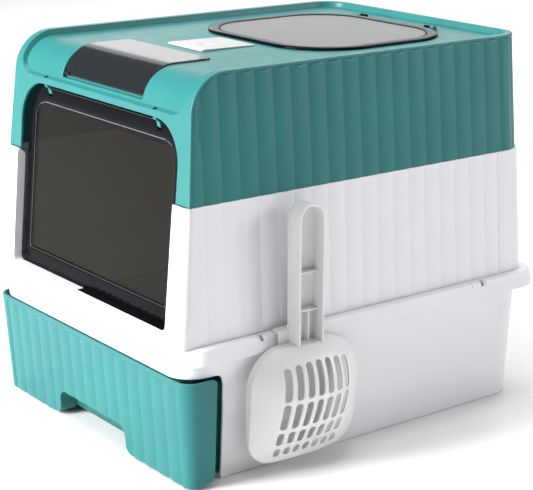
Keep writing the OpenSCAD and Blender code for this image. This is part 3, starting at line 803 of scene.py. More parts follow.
def front_panel():
    ra, rb_ = 8.0, 6.0
    P = wall(rr_segs(189, -254.2, -245.2, ra, 0, "front"), 155.0, rr_segs(184, -241.5, -234.9, rb_, 0, "front"), 300.0)
    U = P.path.total
    k = lambda z: 1 + (z - 155) / 145 * (356 / 362 - 1)
    ow = 158.5
    zs = steps(299.4, 175, 7)
    right = [(U / 2 + ow / k(300), 300.0)] + [(U / 2 + ow / k(z), z) for z in zs]
    arc_ = [(U / 2 + x / k(z), z) for x, z in arc2(ow - 6, 174, 6, 0, -90, 8)]
    lf = [(2 * U / 2 - u, z) for u, z in (right + arc_)[::-1]]
    side_u = [0.9, 2.2, 3.6, 5.2, 7.0, 9.0, 11.0, 13.0]
    bottom = [(u, 155.0) for u in [0] + side_u] + [(u, 155.0) for u in steps(22, U - 22, 12)] + [(U - u, 155.0) for u in side_u[::-1]] + [(U, 155.0)]
    rs = [(U, z) for z in steps(162, 294, 12)] + [(U, 300.0)] + [(U - u, 300.0) for u in side_u]
    ls = [(u, 300.0) for u in side_u[::-1]] + [(0, 300.0)] + [(0, z) for z in steps(294, 162, 12)]
    loop = np.array(bottom + rs + right + arc_ + lf + ls)
    keep = np.hypot(*(loop - np.roll(loop, 1, 0)).T) > 0.05
    loop = densify(loop[keep], 14)
    fl = np.where((np.abs(loop[:, 0] - U / 2) < 162) & (loop[:, 1] > 166) & (loop[:, 1] < 299.7), 11.0, 0)
    us = np.array([0.9, 2.2, 3.6, 5.2, 7.0, 9.0, 11.0, 13.0, 14.5])
    us = np.concatenate([us, U - us, steps(22, U - 22, 16)])
    vs = steps(157, 298, 10)
    V, F, N = sheet([loop], P, 0.0, -3.0, r=1.0, rb=0.4, us=us, vs=vs, margin=1.0, flange=[fl])
    p = Parts()
    p.add(V, F, N)
    p.make("front_wall", WHITE, "base", "white_plastic", ("front_panel",))


def reeded(P, U, half, y0, lo, hi, zlo, zhi, lead=None, brk=207.0):
    """One reeded wall panel between path distances lo and hi (lead: function giving the start at a height)."""
    dist = lambda u: np.minimum(u, U - u) + y0

    def fr(u, v):
        ph = reed_phase(dist(u), 23.0, brk, half)
        e0 = np.clip(1 - (v - zlo) / 6.0, 0, 1) ** 2
        e1 = np.clip(1 - (zhi - v) / 3.0, 0, 1) ** 2
        e = np.maximum(e0, e1)
        x = 0.0 if lead is None else np.clip(1 - (np.minimum(u, U - u) - lead(v)) / 1.6, 0, 1) ** 2
        return -0.35 - 1.25 * reed_shape(ph) * (1 - e) - 0.5 * e0 - 0.7 * x
    c = reed_cols(y0 + 2, half, 23.0, brk, half) - y0
    uc = np.unique(np.round(np.concatenate([c, U - c]), 4))
    if lead is None:
        ub = [u for u in uc if lo + 0.8 < u < hi - 0.8]
        loop = [(lo, zlo)] + [(u, zlo) for u in ub] + [(hi, zlo)] + [(hi, z) for z in steps(zlo + 8, zhi - 8, 10)] + [(hi, zhi)] + [(u, zhi) for u in ub[::-1]] + [(lo, zhi)] + [(lo, z) for z in steps(zhi - 8, zlo + 8, 10)]
        pts = None
    else:
        # the edge that leans with the front: on the right-hand side it starts the path, on the left it ends it
        right = lo < U / 2
        ef = (lambda z: lead(z)) if right else (lambda z: U - lead(z))
        zz = steps(zlo, zhi, 6)
        other = hi if right else lo
        def row(z):
            a, b = sorted((ef(z), other))
            return [u for u in uc if a + 0.8 < u < b - 0.8]
        if right:
            loop = [(ef(zlo), zlo)] + [(u, zlo) for u in row(zlo)] + [(other, zlo)] + [(other, z) for z in zz[1:-1]] + [(other, zhi)] + [(u, zhi) for u in row(zhi)[::-1]] + [(ef(z), z) for z in zz[::-1][:-1]]
        else:
            loop = [(other, zlo)] + [(u, zlo) for u in row(zlo)] + [(ef(z), z) for z in zz] + [(u, zhi) for u in row(zhi)[::-1]] + [(other, zhi)] + [(other, z) for z in zz[::-1][1:-1]]
        pts = np.array([(ef(z) + (1 if right else -1) * k, z) for z in steps(zlo + 1, zhi - 1, 5) for k in (0.8, 1.5, 2.4)])
    vs = np.concatenate([[zlo + 0.9, zlo + 1.8, zlo + 3.0, zlo + 4.2, zlo + 5.2, zlo + 6.4], steps(zlo + 14, zhi - 10, 15), [zhi - 3.2, zhi - 2.3, zhi - 1.6, zhi - 0.9]])
    return sheet([np.array(loop)], P, fr, -4.2, r=0.5, rb=0.3, us=uc, vs=vs, margin=0.5, points=pts, K=2)


def white_walls():
    y0 = -256.0
    P = wall(rr_segs(189, y0, 244.5, 0, 30, "back"), 155.0, rr_segs(184, y0, 237, 0, 30, "back"), 300.0)
    U = P.path.total
    half = U / 2 + y0
    lead = lambda z: y_end(z) - y0 + 0.1
    split = 195.5 - y0
    right = Parts().add(*reeded(P, U, half, y0, 5, split - 0.06, 155.05, 300.0, lead))
    right.make("right_wall", WHITE, "base", "white_plastic", ("right_panel",))
    left = Parts().add(*reeded(P, U, half, y0, U - split + 0.06, U - 5, 155.05, 300.0, lead))
    left.make("left_wall", WHITE, "base", "white_plastic", ("left_panel",))
    rear = Parts().add(*reeded(P, U, half, y0, split + 0.06, U - split - 0.06, 155.05, 300.0))
    rear.make("rear_wall", WHITE, "base", "white_plastic", ("rear_panel",))


def sill():
    # a near-black strip on the sill paints the shade under the door's bottom edge
    Parts().add(*plate_box(-15, 153, -252.2, -236.0, 168.0, 168.9, 0.3, 0.2, 0.8, 3)).make("door_sill_shade", PAINTED_SHADE_BLACK, "base", "pin_plastic", ("sill_strip",))


def slots():
    """Two small slots on the ridge over the doorway, in line with the hooks; near-black plates paint the shade inside
    them.
    """
    a = REC[1]
    p = Parts()
    for s in (-1, 1):
        p.add(*sheet([rrect(s * 110 - 2.7, s * 110 + 2.7, a - 1.0, a + 0.9, 0.6, 3)], lid_P, lambda u, v: lid_front(u, v) + 0.14, lambda u, v: lid_front(u, v) - 1.5, r=0.12, rb=0.1, K=2))
    p.make("ridge_slot_shade", PAINTED_SHADE_BLACK, "lid", "pin_plastic", ())


lid()
slots()
front_panel()
white_walls()
sill()

# ---------------------------------------------------------------- tray and rim
def ring_segs(hx, y0, y1, r0, r1):
    return [("L", (0, y1), (-hx + r1, y1)), ("A", (-hx + r1, y1 - r1), r1, 90, 180), ("L", (-hx, y1 - r1), (-hx, y0 + r0)),
            ("A", (-hx + r0, y0 + r0), r0, 180, 270), ("L", (-hx + r0, y0), (hx - r0, y0)), ("A", (hx - r0, y0 + r0), r0, 270, 360),
            ("L", (hx, y0 + r0), (hx, y1 - r1)), ("A", (hx - r1, y1 - r1), r1, 0, 90), ("L", (hx - r1, y1), (0, y1))]


def rings_of(spec, n=12, sub=6):
    """Rings (hx, y0, y1, r, z) as points of equal count."""
    out = []
    for hx, y0, y1, r, z in spec:
        base = rrect(-hx, hx, y0, y1, r, n)
        pts = []
        for c in range(4):
            seg = base[c * (n + 1):(c + 1) * (n + 1)]
            nxt = base[((c + 1) * (n + 1)) % len(base)]
            pts += list(seg)
            pts += [seg[-1] + (nxt - seg[-1]) * j / sub for j in range(1, sub)]
        pts = np.array(pts)
        out.append(np.concatenate([pts, np.full((len(pts), 1), float(z))], 1))
    return out


def shell(name, V, F, mat, body, repl=(), flip=None):
    V = np.asarray(V, float)
    if volume_sign(V, F) < 0:
        F = [f[::-1] for f in F]
    return make(name, V, F, mat, None, body, repl)


def cut(o, cutters):
    """Takes the cutters out of a piece for good, by exact boolean."""
    for c in cutters:
        m = o.modifiers.new("cut", "BOOLEAN")
        m.operation, m.solver, m.object = "DIFFERENCE", "EXACT", c
        o.modifiers.move(len(o.modifiers) - 1, 0)
    dg = bpy.context.evaluated_depsgraph_get()
    dg.update()
    me = bpy.data.meshes.new_from_object(o.evaluated_get(dg))
    for m in [m for m in o.modifiers if m.type in ("BOOLEAN",)]:
        o.modifiers.remove(m)
    o.data = me
    for c in cutters:
        bpy.data.objects.remove(c)
    return o


def raw_box(name, x0, x1, y0, y1, z0, z1, r=1.0):
    loop = rrect(x0, x1, y0, y1, r, 3)
    V, F = loft([np.concatenate([loop, np.full((len(loop), 1), z)], 1) for z in (z0, z1)])
    if volume_sign(V, F) < 0:
        F = [f[::-1] for f in F]
    return make(name, V, F, WHITE)


def tray():
    P0 = wall(ring_segs(181, -242.6, 235.5, 30, 32), 0.0, ring_segs(194, -254.5, 236, 30, 40), 137.0)

    def P(u, v, n):
        v = np.atleast_1d(v).astype(float)
        q = P0(u, np.minimum(v, 137.0), n)
        q[:, 2] = v
        return q
    pa = P0.path
    U = pa.total

    def u_at(y, z):
        w = min(z, 137.0) / 137
        s, e = 203.5 + (196 - 203.5) * w, -212.6 + (-224.5 + 212.6) * w
        return pa.cum[2] + (s - y) / (s - e) * pa.len[2]
    mouth = [(-199.4, 0.0), (-200.4, 36.0), (-201.4, 72.0), (-202.3, 104.0), (-202.7, 109.5), (-203.6, 114.0), (-205.4, 118.0), (-208.4, 120.7), (-212.4, 121.6)]
    mu = [(u_at(y, z), z) for y, z in mouth]
    u_l = mu[-1][0]
    bot = [(u, 0.0) for u in np.concatenate([[0], steps(12, pa.cum[1], 14)[:-1], steps(pa.cum[1], pa.cum[2], 3.2), steps(pa.cum[2] + 12, mu[0][0] - 8, 14)])]
    arch = [(u, 121.6) for u in np.concatenate([[u_l + 6], steps(pa.cum[3], pa.cum[4], 3.0), steps(pa.cum[4] + 12, U / 2, 12)])]
    left = bot + mu + arch
    loop = left + [(U - u, z) for u, z in left[::-1]]
    top = [(u, 150.0) for u in np.unique(np.round([p[0] for p in loop], 3))[::-1]]
    loop = np.array(loop + top)
    keep = np.hypot(*(loop - np.roll(loop, 1, 0)).T) > 0.05
    loop = loop[keep]
    # the two ends lap at the middle of the rear, so that their rounded edges sink into each other
    loop[:, 0] = np.where(loop[:, 0] < 0.01, -1.45, np.where(loop[:, 0] > U - 0.01, U + 1.45, loop[:, 0]))
    on = (np.abs(loop[:, 0] - U / 2) < U / 2 - u_l - 1) & (loop[:, 1] < 122) & (loop[:, 1] > 121)
    depth = 14 * smooth01((U / 2 - u_l - np.abs(loop[:, 0] - U / 2)) / 26)
    fl = np.where(on & (depth > 3.6), depth, 0)
    us = np.concatenate([steps(14, pa.cum[1], 16), steps(pa.cum[1], pa.cum[2], 3.6), steps(pa.cum[2], pa.cum[3], 16), steps(pa.cum[3], pa.cum[4], 3.6), steps(pa.cum[4], U / 2, 16)])
    us = np.unique(np.round(np.concatenate([us, U - us]), 3))
    V, F, N = sheet([loop], P, 0.0, -3.0, r=1.3, rb=0.5, us=us, vs=steps(4, 147, 11), margin=1.8, flange=[fl])
    p = Parts().add(V, F, N)
    floor_ = densify(rrect(-178.6, 178.6, -198.4, 233.2, (3, 3, 30, 30), 10), 30)
    p.add(*sheet([floor_], ident, 3.0, 0.0, r=0.8, rb=0.8, us=steps(-160, 160, 40), vs=steps(-180, 220, 40)))
    p.make("tray_wall", WHITE, "base", "white_plastic", ("base_tray",))
    spec = [(198.7, -253.7, 253.7, 31, 136.0), (199.25, -254.25, 254.25, 31.4, 136.2), (199.7, -254.65, 254.65, 31.7, 136.9), (200, -255, 255, 32, 140.1),
            (198.5, -253.8, 253.8, 31.2, 149.6), (197.9, -253.2, 253.2, 30.8, 151.9), (197.1, -252.4, 252.4, 30.2, 153.4), (195.9, -251.3, 251.3, 29.4, 154.4),
            (194.2, -249.8, 249.8, 28.4, 154.9), (192.4, -248, 248, 27.4, 155.0),
            (188, -233, 233, 33, 155.0), (187.3, -232.3, 232.3, 33, 154.7), (187, -232, 232, 33, 154.0), (187, -232, 232, 33, 150.6), (187.6, -232.6, 232.6, 33, 150.0),
            (196.4, -251.4, 251.4, 29.3, 150.0), (197.1, -252.1, 252.1, 29.4, 149.3), (197.2, -252.2, 252.2, 29.5, 137.0), (197.6, -252.6, 252.6, 29.9, 136.2), (198.1, -253.1, 253.1, 30.4, 135.95)]
    V, F = loft(rings_of(spec, 12, 8), closed=True)
    o = shell("tray_rim", V, F, WHITE, "base", ("base_tray",))
    cutters = [raw_box("c%d%d" % (s, t), min(s * 191.6, s * 203), max(s * 191.6, s * 203), t * 151 - 9.2, t * 151 + 9.2, 149.4, 160, 1.2) for s in (-1, 1) for t in (-1, 1)]
    cut(o, cutters)
    # clips that stand in the rim's pockets
    c = Parts()
    for s in (-1, 1):
        for t in (-1, 1):
            a, b = (142.2, 156.2) if t > 0 else (-156.2, -142.2)
            prof = np.array([(192.0, 149.0), (198.6, 149.0), (198.9, 150.4), (198.2, 152.6), (197.0, 154.0), (195.2, 155.0), (193.6, 155.3), (192.0, 155.3)])
            Pm = lambda u, v, n, s=s: np.stack([s * u, n, v], 1)
            c.add(*sheet([densify(prof, 3)], Pm, b, a, r=0.5, rb=0.5, K=2))
    c.make("rim_clip_tabs", WHITE, "base", "white_plastic", ("rim_clips",))


# ---------------------------------------------------------------- drawer
def drawer():
    ZT = 120.6
    za, zb = 2.0, 119.5
    P = wall(rr_segs(193.5, -246.5, -215.0, 13, 0, "front"), za, rr_segs(199, -255, -215.0, 18, 0, "front"), zb)
    pa = P.path
    U = pa.total
    kx = lambda z: 1 + (z - za) / (zb - za) * (362 / 361 - 1)

    def fr(u, v):
        x = (u - U / 2) * kx(v)
        ph = x / 23.5
        lip = smooth01((115.6 - v) / 2.4)
        ends = smooth01((178.5 - np.abs(x)) / 2.0)
        body = reed_shape(ph)
        return -(0.35 * lip + 1.25 * body * lip) * ends - 0.35 * lip * (1 - ends)
    cuts = np.array((-0.5, -0.484, -0.42, -0.32, -0.22, -0.11, 0, 0.11, 0.22, 0.32, 0.42, 0.484))
    xs = np.unique(np.round(np.concatenate([(k + cuts) * 23.5 for k in range(-7, 8)] + [[176.25, -176.25, 177.2, 178.4, -177.2, -178.4]]), 4))
    wz = lambda y: 2.0 + 3.2 * smooth01((y + 240) / 22)
    # bottom edge from the left wing's rear to the right one, with the finger notch
    wing = pa.len[0]
    s0, s1 = pa.cum[1], pa.cum[2]
    lw = [(8 - 8 * math.cos(a), wz(-215) + 8 - 8 * math.sin(a)) for a in np.radians(np.linspace(0, 90, 7))]
    wing_pts = [(u, wz(-215.0 - u)) for u in steps(11, wing, 4)] + [(u, 2.0) for u in steps(s0, s1, 1.8)[1:]]
    fx = lambda x, z: U / 2 + x / kx(z)
    notch = [(-81, 2.0)] + [tuple(p) for p in arc2(-81, 14, 12, 270, 360, 8)[1:]] + [tuple(p) for p in arc2(-57, 21, 12, 180, 90, 8)] + [(x, 33.0) for x in xs if abs(x) < 56] \
        + [tuple(p) for p in arc2(57, 21, 12, 90, 0, 8)] + [tuple(p) for p in arc2(81, 14, 12, 180, 270, 8)]
    left = [(fx(x, 2), 2.0) for x in xs if -180 < x < -82]
    bottom = lw + wing_pts + left + [(fx(x, z), z) for x, z in notch] + [(U - u, z) for u, z in (lw + wing_pts + left)[::-1]]
    rt = [(U - (6 - 6 * math.cos(a)), ZT - 6 + 6 * math.sin(a)) for a in np.radians(np.linspace(0, 90, 6))]
    side = [(U, z) for z in steps(22, ZT - 12, 12)]
    tops = [(u, ZT) for u in np.unique(np.round(np.concatenate([steps(9, s0, 4), steps(s0, s1, 1.8), [fx(x, ZT) for x in xs], U - steps(9, s0, 4), U - steps(s0, s1, 1.8)]), 4))[::-1]]
    loop = bottom + side + rt + tops + [(U - u, z) for u, z in (side + rt)[::-1]]
    loop = np.array(loop)
    keep = np.hypot(*(loop - np.roll(loop, 1, 0)).T) > 0.05
    loop = loop[keep]
    on = (np.abs(loop[:, 0] - U / 2) < 78) & (loop[:, 1] > 4) & (loop[:, 1] < 34)
    fl = np.where(on, 22.0, 0)
    us = np.unique(np.round(np.concatenate([steps(3, s0, 4), steps(s0, s1, 1.8), [fx(x, 60) for x in xs], U - steps(3, s0, 4), U - steps(s0, s1, 1.8)]), 4))
    vs = np.concatenate([[3.4], steps(8, 106, 9), [111.5, 113.2, 113.8, 114.4, 115.0, 115.6, 116.4, 118.4]])
    V, F, N = sheet([loop], P, fr, -3.1, r=0.9, rb=0.4, us=us, vs=vs, margin=0.7, flange=[fl])
    p = Parts().add(V, F, N)
    # plate that carries the face on the pan
    yz = np.array([(-251.6, ZT - 3.6), (-233.6, ZT - 3.6), (-231.9, 108), (-224.2, 10), (-226.6, 10), (-235.2, 108), (-236.2, ZT - 6.4), (-251.6, ZT - 6.4)])
    Pm = lambda u, v, n: np.stack([n, u, v], 1)
    p.add(*sheet([densify(yz[::-1] if False else yz, 30)], Pm, 176.0, -176.0, r=0.6, rb=0.6, K=2))
    p.make("drawer_face", TEAL, "drawer", "teal_plastic", ("drawer_front",))
    sp = []
    def lerp(t, z, d):
        return (171 + 9 * t - d, -221 - 9 * t + d, 221 + 7 * t - d, 22 + 4 * t - d * 0.7, z)
    sp += [lerp(0, 5.0, 3.2), lerp(0, 5.25, 1.6), lerp(0.005, 6.0, 0.5), lerp(0.02, 7.6, 0), lerp(0.97, 107.2, 0), lerp(0.985, 109.2, 0.25), lerp(0.99, 109.85, 0.9), lerp(0.99, 110.0, 1.6),
           lerp(0.99, 109.8, 2.3), lerp(0.985, 109.0, 2.85), lerp(0.97, 107.2, 3.0), lerp(0.06, 13.5, 3.1), lerp(0.03, 10.6, 4.2), lerp(0.02, 9.0, 6.4), lerp(0.02, 8.2, 9.0), lerp(0.02, 8.0, 12.0)]
    V, F = loft(rings_of(sp, 8, 8))
    shell("drawer_tub", V, F, TEAL, "drawer", ("drawer_pan",))


# ---------------------------------------------------------------- top hatch, window, latch
def top_parts():
    zf = 424.5
    y0 = 77.0
    outer = densify(rrect(-122, 122, y0 - 111, y0 + 111, 72, 20), 8)
    hole = densify(rrect(-108.5, 108.5, y0 - 97.5, y0 + 97.5, 58.5, 18), 8)[::-1]
    hx, hy, hr = 122.0, 111.0, 72.0

    def sd(u, v):
        qx, qy = np.abs(u) - hx + hr, np.abs(v - y0) - hy + hr
        return np.hypot(np.maximum(qx, 0), np.maximum(qy, 0)) + np.minimum(np.maximum(qx, qy), 0) - hr
    def fr(u, v):
        d = -sd(u, v)
        return 3.55 - 1.1 * np.clip(1 - d / 4.0, 0, 1) ** 2 - 0.5 * smooth01((d - 9.5) / 3.5)
    P = lambda u, v, n: np.stack([np.atleast_1d(u).astype(float), v, zf + n + 0 * u], 1)
    lines = [(densify(rrect(-122 + k, 122 - k, y0 - 111 + k, y0 + 111 - k, 72 - k, 18), 8), True) for k in (1.7, 2.4, 3.2, 4.2, 9.4, 11.2, 12.3)]
    V, F, N = sheet([outer, hole], P, fr, 0.35, r=1.1, rb=0.3, lines=lines, K=3)
    p = Parts().add(V, F, N)
    ledge_o = densify(rrect(-110, 110, y0 - 99, y0 + 99, 60, 18), 8)
    ledge_i = densify(rrect(-104.5, 104.5, y0 - 93.5, y0 + 93.5, 54.5, 18), 8)[::-1]
    p.add(*sheet([ledge_o, ledge_i], ident, zf + 1.0, zf + 0.3, r=0.2, rb=0.2, K=2))
    hy_, hz = y0 + 111 + 2.6, zf + 2.7
    for s in (-1, 1):
        ring = arc2(hy_, hz, 2.3, 0, 360, 20)[:-1]
        Pm = lambda u, v, n: np.stack([n, u, v], 1)
        p.add(*sheet([ring], Pm, s * 57.5 + 5, s * 57.5 - 5, r=0.4, rb=0.4, K=2))
        web = np.array([(hy_ - 7, zf + 0.5), (hy_ - 0.5, zf + 0.5), (hy_ - 0.2, zf + 3.4), (hy_ - 3, zf + 3.3), (hy_ - 7, zf + 3.2)])
        p.add(*sheet([densify(web, 3)], Pm, s * 57.5 + 4.8, s * 57.5 - 4.8, r=0.3, rb=0.3, K=2))
    p.make("hatch_frame", SMOKE_RIM, "hatch", "smoke_plastic", ("hatch_rim",))
    pane = densify(rrect(-107.6, 107.6, y0 - 96.6, y0 + 96.6, 57.6, 18), 8)
    q = Parts().add(*sheet([pane], ident, zf + 2.5, zf + 1.1, r=0.4, rb=0.3, us=steps(-100, 100, 25), vs=steps(-10, 160, 25), K=3))
    q.make("hatch_glazing", SMOKE_TOP, "hatch", "smoke_plastic", ("hatch_pane",))
    # window over the brow
    wy, wz, R = -185.0, 390.5, 36.0
    sb = R * math.pi / 2

    def PW(u, s, n):
        u, s, n = np.atleast_1d(u).astype(float), np.atleast_1d(s).astype(float), np.atleast_1d(n).astype(float)
        ph = np.minimum(s, sb) / R
        y = wy - R * np.cos(ph) + np.maximum(s - sb, 0)
        return np.stack([u, y - np.cos(ph) * n, wz + R * np.sin(ph) + np.sin(ph) * n], 1)
    sa = R * math.asin((394.4 - wz) / R)
    st = sb + 47.8
    out = [(-80 + 3, sa), (80 - 3, sa)]
    ol = rrect(-80, 80, sa, st, 3.0, 4)
    order = np.array(ol)
    loop = densify(order, 6)
    w = Parts().add(*sheet([loop], PW, 0.0, -1.9, r=0.6, rb=0.4, us=steps(-76, 76, 8), vs=steps(sa + 2, st - 2, 3.2), margin=1.2))
    wpy, wpz = -220.6, 396.4
    for s in (-1, 1):
        Pm = lambda u, v, n: np.stack([n, u, v], 1)
        w.add(*sheet([arc2(wpy, wpz, 2.1, 0, 360, 18)[:-1]], Pm, s * 76 + 4, s * 76 - 4, r=0.4, rb=0.4, K=2))
    w.make("window_glazing", SMOKE_TOP, "window", "smoke_plastic", ("front_window",))
    # latch
    def lf(u, v):
        slope = zf + 2.35 - 1.15 * np.clip((v + 116) / 70, 0, 1)
        d2 = (u ** 2 + (v + 88) ** 2)
        dish = np.clip(1 - d2 / 8.6 ** 2, 0, 1) ** 1.5
        lipf = -0.5 * np.clip(1 - (v + 117) / 2.5, 0, 1) ** 2
        return slope - 1.1 * dish + lipf
    loop = densify(np.array(rrect(-34, 34, -117, -44.5, 3.0, 4)), 5)
    dish_pts = np.array([(r_ * math.cos(t_), -88 + r_ * math.sin(t_)) for r_ in (1.5, 3, 4.5, 5.8, 7, 7.9, 8.7) for t_ in np.linspace(0, 2 * math.pi, 29)[:-1]])
    l = Parts().add(*sheet([loop], ident, lf, zf + 0.2, r=0.45, rb=0.2, us=steps(-32, 32, 8), vs=steps(-115, -50, 5), margin=0.8, points=dish_pts, K=3))
    for s in (-1, 1):
        l.add(*plate_box(s * 20 - 2.5, s * 20 + 2.5, -94.5, -80.5, zf - 4.6, zf + 0.4, 0.4, 0.4, 0.8, 3))
    l.make("latch_plate", LATCH, "latch", "latch_plastic", ("latch_slider",))


tray()
drawer()
top_parts()

# ---------------------------------------------------------------- door
def sd_rr(u, v, hx, v0, v1, r0, r1):
    """Signed distance to a rounded rectangle, positive inside; r0 at the low corners, r1 at the high ones."""
    mid = (v0 + v1) / 2
    r = np.where(v > mid, r1, r0)
    qx, qy = np.abs(u) - hx + r, np.abs(v - mid) - (v1 - v0) / 2 + r
    return -(np.hypot(np.maximum(qx, 0), np.maximum(qy, 0)) + np.minimum(np.maximum(qx, qy), 0) - r)


def door():
    ry, rz, t = -220.0, 371.5, math.radians(5.4)

    def P(u, v, n):
        u, v, n = np.atleast_1d(u).astype(float), np.atleast_1d(v).astype(float), np.atleast_1d(n).astype(float)
        return np.stack([u, ry + v * math.sin(t) - n * math.cos(t), rz + v * math.cos(t) + n * math.sin(t)], 1)
    hw, lo, hi = 155.5, -201.4, 3.2
    base = rrect(-hw, hw, lo, hi, (5, 5, 41, 41), 14)
    pts = [tuple(p) for p in base]
    # the upper edge runs from +x to -x between the two upper corners; hook notches go there
    out = []
    for i, p in enumerate(pts):
        out.append(p)
        if i == 15 * 3 - 1:
            for s in (1, -1):
                c = s * 110
                a, b = c + 3.7, c - 3.7
                out += [(a + 0.7, hi), (a, hi - 0.7), (a, -4.7), (a - 0.8, -5.5), (b + 0.8, -5.5), (b, -4.7), (b, hi - 0.7), (b - 0.7, hi)]
    loop = densify(np.array(out), 7)
    fo = dict(hx=143.0, v0=-187.3, v1=-9.8, r0=4.0, r1=27.0)       # where the frame's flat ends
    fi = dict(hx=139.2, v0=-184.3, v1=-20.0, r0=4.0, r1=9.0)       # where the pane begins

    def frac(u, v):
        a, b = sd_rr(u, v, **fo), -sd_rr(u, v, **fi)
        return np.where(a <= 0, 0.0, np.where(b <= 0, 1.0, a / np.maximum(a + b, 1e-6)))

    def fr(u, v):
        w = frac(u, v)
        prof = np.interp(w, [0, .12, .38, .46, .62, .70, .92, 1.0], [0, .04, .46, .52, .50, .56, .97, 1.0])
        edge = np.clip(1 - sd_rr(u, v, hw, lo, hi, 5.0, 41.0) / 2.6, 0, 1) * np.clip((-6 - v) / 6, 0, 1)
        return 3.15 - 0.45 * edge ** 2 - 1.95 * prof
    bk = lambda u, v: -3.15 + 1.85 * frac(u, v)
    mk = lambda d: densify(rrect(-d["hx"], d["hx"], d["v0"], d["v1"], (d["r0"], d["r0"], d["r1"], d["r1"]), 12), 6)
    lines = [(mk(fo), True), (mk(fi), True)]
    for f in (0.12, 0.38, 0.5, 0.66, 0.92):
        d = {k: fo[k] + (fi[k] - fo[k]) * f for k in fo}
        lines.append((mk(d), True))
    rim = dict(hx=hw - 2.7, v0=lo + 2.7, v1=hi - 2.7, r0=3.0, r1=38.3)
    V, F, N = sheet([loop], P, fr, bk, r=0.9, rb=0.7, us=steps(-150, 150, 12), vs=steps(-198, 0, 12), margin=1.6, lines=lines, K=3)
    cen = V[[f[0] for f in F]]
    p = Parts().add(V, F, N)
    o = p.make("door_panel", [SMOKE, SMOKE_RIM, SMOKE_PAINTED_HIGHLIGHT], "door", "smoke_plastic", ("door_flap",))
    me = o.data
    loc = lambda c: (c[0], (c[1] - ry) * math.sin(t) + (c[2] - rz) * math.cos(t))
    for poly in me.polygons:
        c = poly.center / MM
        u, v = loc(c)
        poly.material_index = 0 if sd_rr(np.array([u]), np.array([v]), **fi)[0] > -0.05 else 1
        # a band of the inner bevel gets the lighter smoke as a painted highlight line
        if poly.material_index and poly.normal.y < 0 and 0.39 < frac(np.array([u]), np.array([v]))[0] < 0.49:
            poly.material_index = 2
        # front faces along the door's outer edge get the lighter smoke as a painted highlight outline
        if poly.normal.y < -0.05 and sd_rr(np.array([u]), np.array([v]), hw, lo, hi, 5.0, 41.0)[0] < 0.62:
            poly.material_index = 2


# ---------------------------------------------------------------- hooks over the door's rod
def hooks():
    ry, rz = -220.0, 371.5
    prof = [(-4.1, -1.6), (-3.2, -3.1), (-1.2, -4.3), (1.2, -4.3), (3.4, -3.6), (4.6, -1.6), (5.0, 0), (5.0, 9), (2.5, 16), (-2.42, 16), (-2.42, 10.4), (-5, 8.2), (-8.4, 8.2), (-9.3, 7.4),
            (-9.3, 6.2), (-8.4, 5.4), (-5.6, 3.4), (-4.2, 0.6)]
    Pm = lambda u, v, n: np.stack([n, u, v], 1)
    p = Parts()
    for s in (-1, 1):
        loop = densify(np.array([(ry + a, rz + b) for a, b in prof]), 3)
        bore = arc2(ry, rz, 3.06, 0, 360, 24)[:-1][::-1]
        p.add(*sheet([loop, bore], Pm, s * 110 + 3, s * 110 - 3, r=0.5, rb=0.5, K=2))
    p.make("door_hooks", TEAL, "lid", "teal_plastic", ("door_hinge_hooks",))


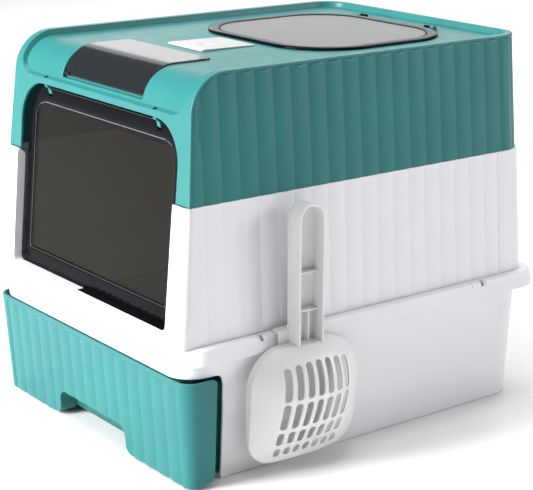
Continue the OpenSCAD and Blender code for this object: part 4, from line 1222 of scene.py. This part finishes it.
# ---------------------------------------------------------------- scoop
def scoop():
    sx, cy = 203.5, -112.0
    hw = 71.0
    mouth = np.array([(hw - 34 + 34 * math.cos(a), 48 + 34 * math.sin(a)) for a in np.radians(np.linspace(-90, 0, 16))]
                     + [(hw, 60), (hw, 74), (hw, 88)]
                     + [(hw - 46 + 46 * math.cos(a), 98 + 46 * math.sin(a)) for a in np.radians(np.linspace(10, 76, 16))])
    mouth = np.concatenate([mouth, [(12, 143.6)], [(-12, 143.6)], (mouth * [-1, 1])[::-1], [(-12, 14), (12, 14)]])
    loop = densify(mouth, 5)
    zt = np.array([10, 14, 22, 30, 36, 45, 52, 60, 70, 80, 90, 100, 108, 116, 124, 131, 137, 144, 150])
    dt = np.array([3.9, 5.0, 8.2, 12.4, 15.8, 20.6, 24.0, 27.8, 32.0, 35.3, 37.6, 38.2, 37.6, 35.8, 32.6, 28.6, 24.0, 17.6, 12.0])
    # smooth profile through the table
    zz = np.linspace(10, 150, 281)
    dd = np.interp(zz, zt, dt)
    k = np.hanning(31); k /= k.sum()
    dd = np.convolve(np.pad(dd, 15, mode="edge"), k, mode="valid")
    D = lambda z: np.interp(z, zz, dd)

    def W(z):
        w = np.where(z < 48, hw - 34 + np.sqrt(np.maximum(34 ** 2 - (48 - z) ** 2, 0)), hw)
        return np.where(z > 98, hw - 46 + np.sqrt(np.maximum(46 ** 2 - (z - 98) ** 2, 0)), w) + 3.2

    def H(u, v):
        tau = np.clip(np.abs(u) / W(v), 0, 0.999)
        return np.maximum(D(v) * (1 - tau ** 2.15) ** 0.62, 2.6 + 0 * u)
    def Hs(u, v):
        e = 1.6
        return (H(u, v) * 2 + H(u + e, v) + H(u - e, v) + H(u, v + e) + H(u, v - e)) / 6

    def bk(u, v):
        e = 0.7
        gx, gy = (Hs(u + e, v) - Hs(u - e, v)) / (2 * e), (Hs(u, v + e) - Hs(u, v - e)) / (2 * e)
        return Hs(u, v) - 2.1 * np.minimum(np.sqrt(1 + gx ** 2 + gy ** 2), 2.4)
    P = lambda u, v, n: np.stack([sx + np.atleast_1d(n) + 0 * u, cy + np.atleast_1d(u).astype(float), np.atleast_1d(v) + 0.0 * u], 1)
    fl = Hs(loop[:, 0], loop[:, 1]) + 1.1
    holes = []
    w2 = 4.15
    for i in range(7):
        u = (i - 3) * 13.0
        top = 129.5 - 0.0026 * u * u
        for a, b in ((92.0 - 0.0006 * u * u, top), (57.5, 87.4), (37.0, 52.6), (22.0, 31.8)):
            h = rrect(u - w2, u + w2, a, b, 3.7, 6)
            # the slots lean in a little towards the neck and the lip
            h[:, 0] = h[:, 0] * np.interp(h[:, 1], [22, 50, 90, 130], [0.95, 1.0, 1.0, 0.94])
            holes.append(densify(h, 4)[::-1])
    V, F, N = sheet([loop] + holes, P, Hs, bk, r=0.55, rb=0.4, us=steps(-69, 69, 3.4), vs=steps(16, 142, 3.4), margin=1.3, flange=[fl] + [None] * len(holes), K=3)
    p = Parts().add(V, F, N)
    # handle: a channel open to the outside
    gw = 16.5
    hl = densify(rrect(-gw, gw, 131, 294, (1, 1, 16.2, 16.2), 14), 7)
    Pc = lambda u, v, n: np.stack([sx - np.atleast_1d(n) + 0 * u, cy + np.atleast_1d(u).astype(float), np.atleast_1d(v) + 0.0 * u], 1)
    dep = np.where(hl[:, 1] < 131.5, 8.0, 19.0)
    p.add(*sheet([hl], Pc, 0.0, -2.4, r=0.6, rb=0.4, us=steps(-12, 12, 8), vs=steps(140, 286, 12), margin=1.5, flange=[dep]))
    # lip round the handle's back edge
    lo_ = densify(rrect(-gw - 1.3, gw + 1.3, 150, 295.3, (1, 1, 17.5, 17.5), 14), 8)
    li_ = densify(rrect(-gw + 1.0, gw - 1.0, 153, 293.0, (1, 1, 15.2, 15.2), 14), 8)[::-1]
    p.add(*sheet([lo_, li_], lambda u, v, n: P(u, v, n), 1.5, 0.1, r=0.5, rb=0.4, K=2))
    for z in (177.0, 218.0):
        p.add(*plate_box(sx + 1.0, sx + 11.0, cy - gw + 1, cy + gw - 1, z, z + 2.0, 0.5, 0.5, 0.6, 3))
    p.add(*plate_box(sx + 1.0, sx + 10.0, cy + 2.0, cy + 4.0, 136.0, 178.0, 0.4, 0.4, 0.6, 3))
    # lug that hangs over the tray's rim
    p.add(*plate_box(191.6, sx + 1.2, cy - 29.5, cy + 29.5, 155.35, 157.9, 0.6, 0.6, 1.0, 3))
    p.add(*plate_box(sx - 1.4, sx + 1.1, cy - 29.5, cy + 29.5, 140.4, 157.4, 0.6, 0.6, 0.6, 3))
    p.make("scoop_body", GREYSC, "scoop", "scoop_plastic", ("litter_scoop",))


door()
hooks()
scoop()

stage()
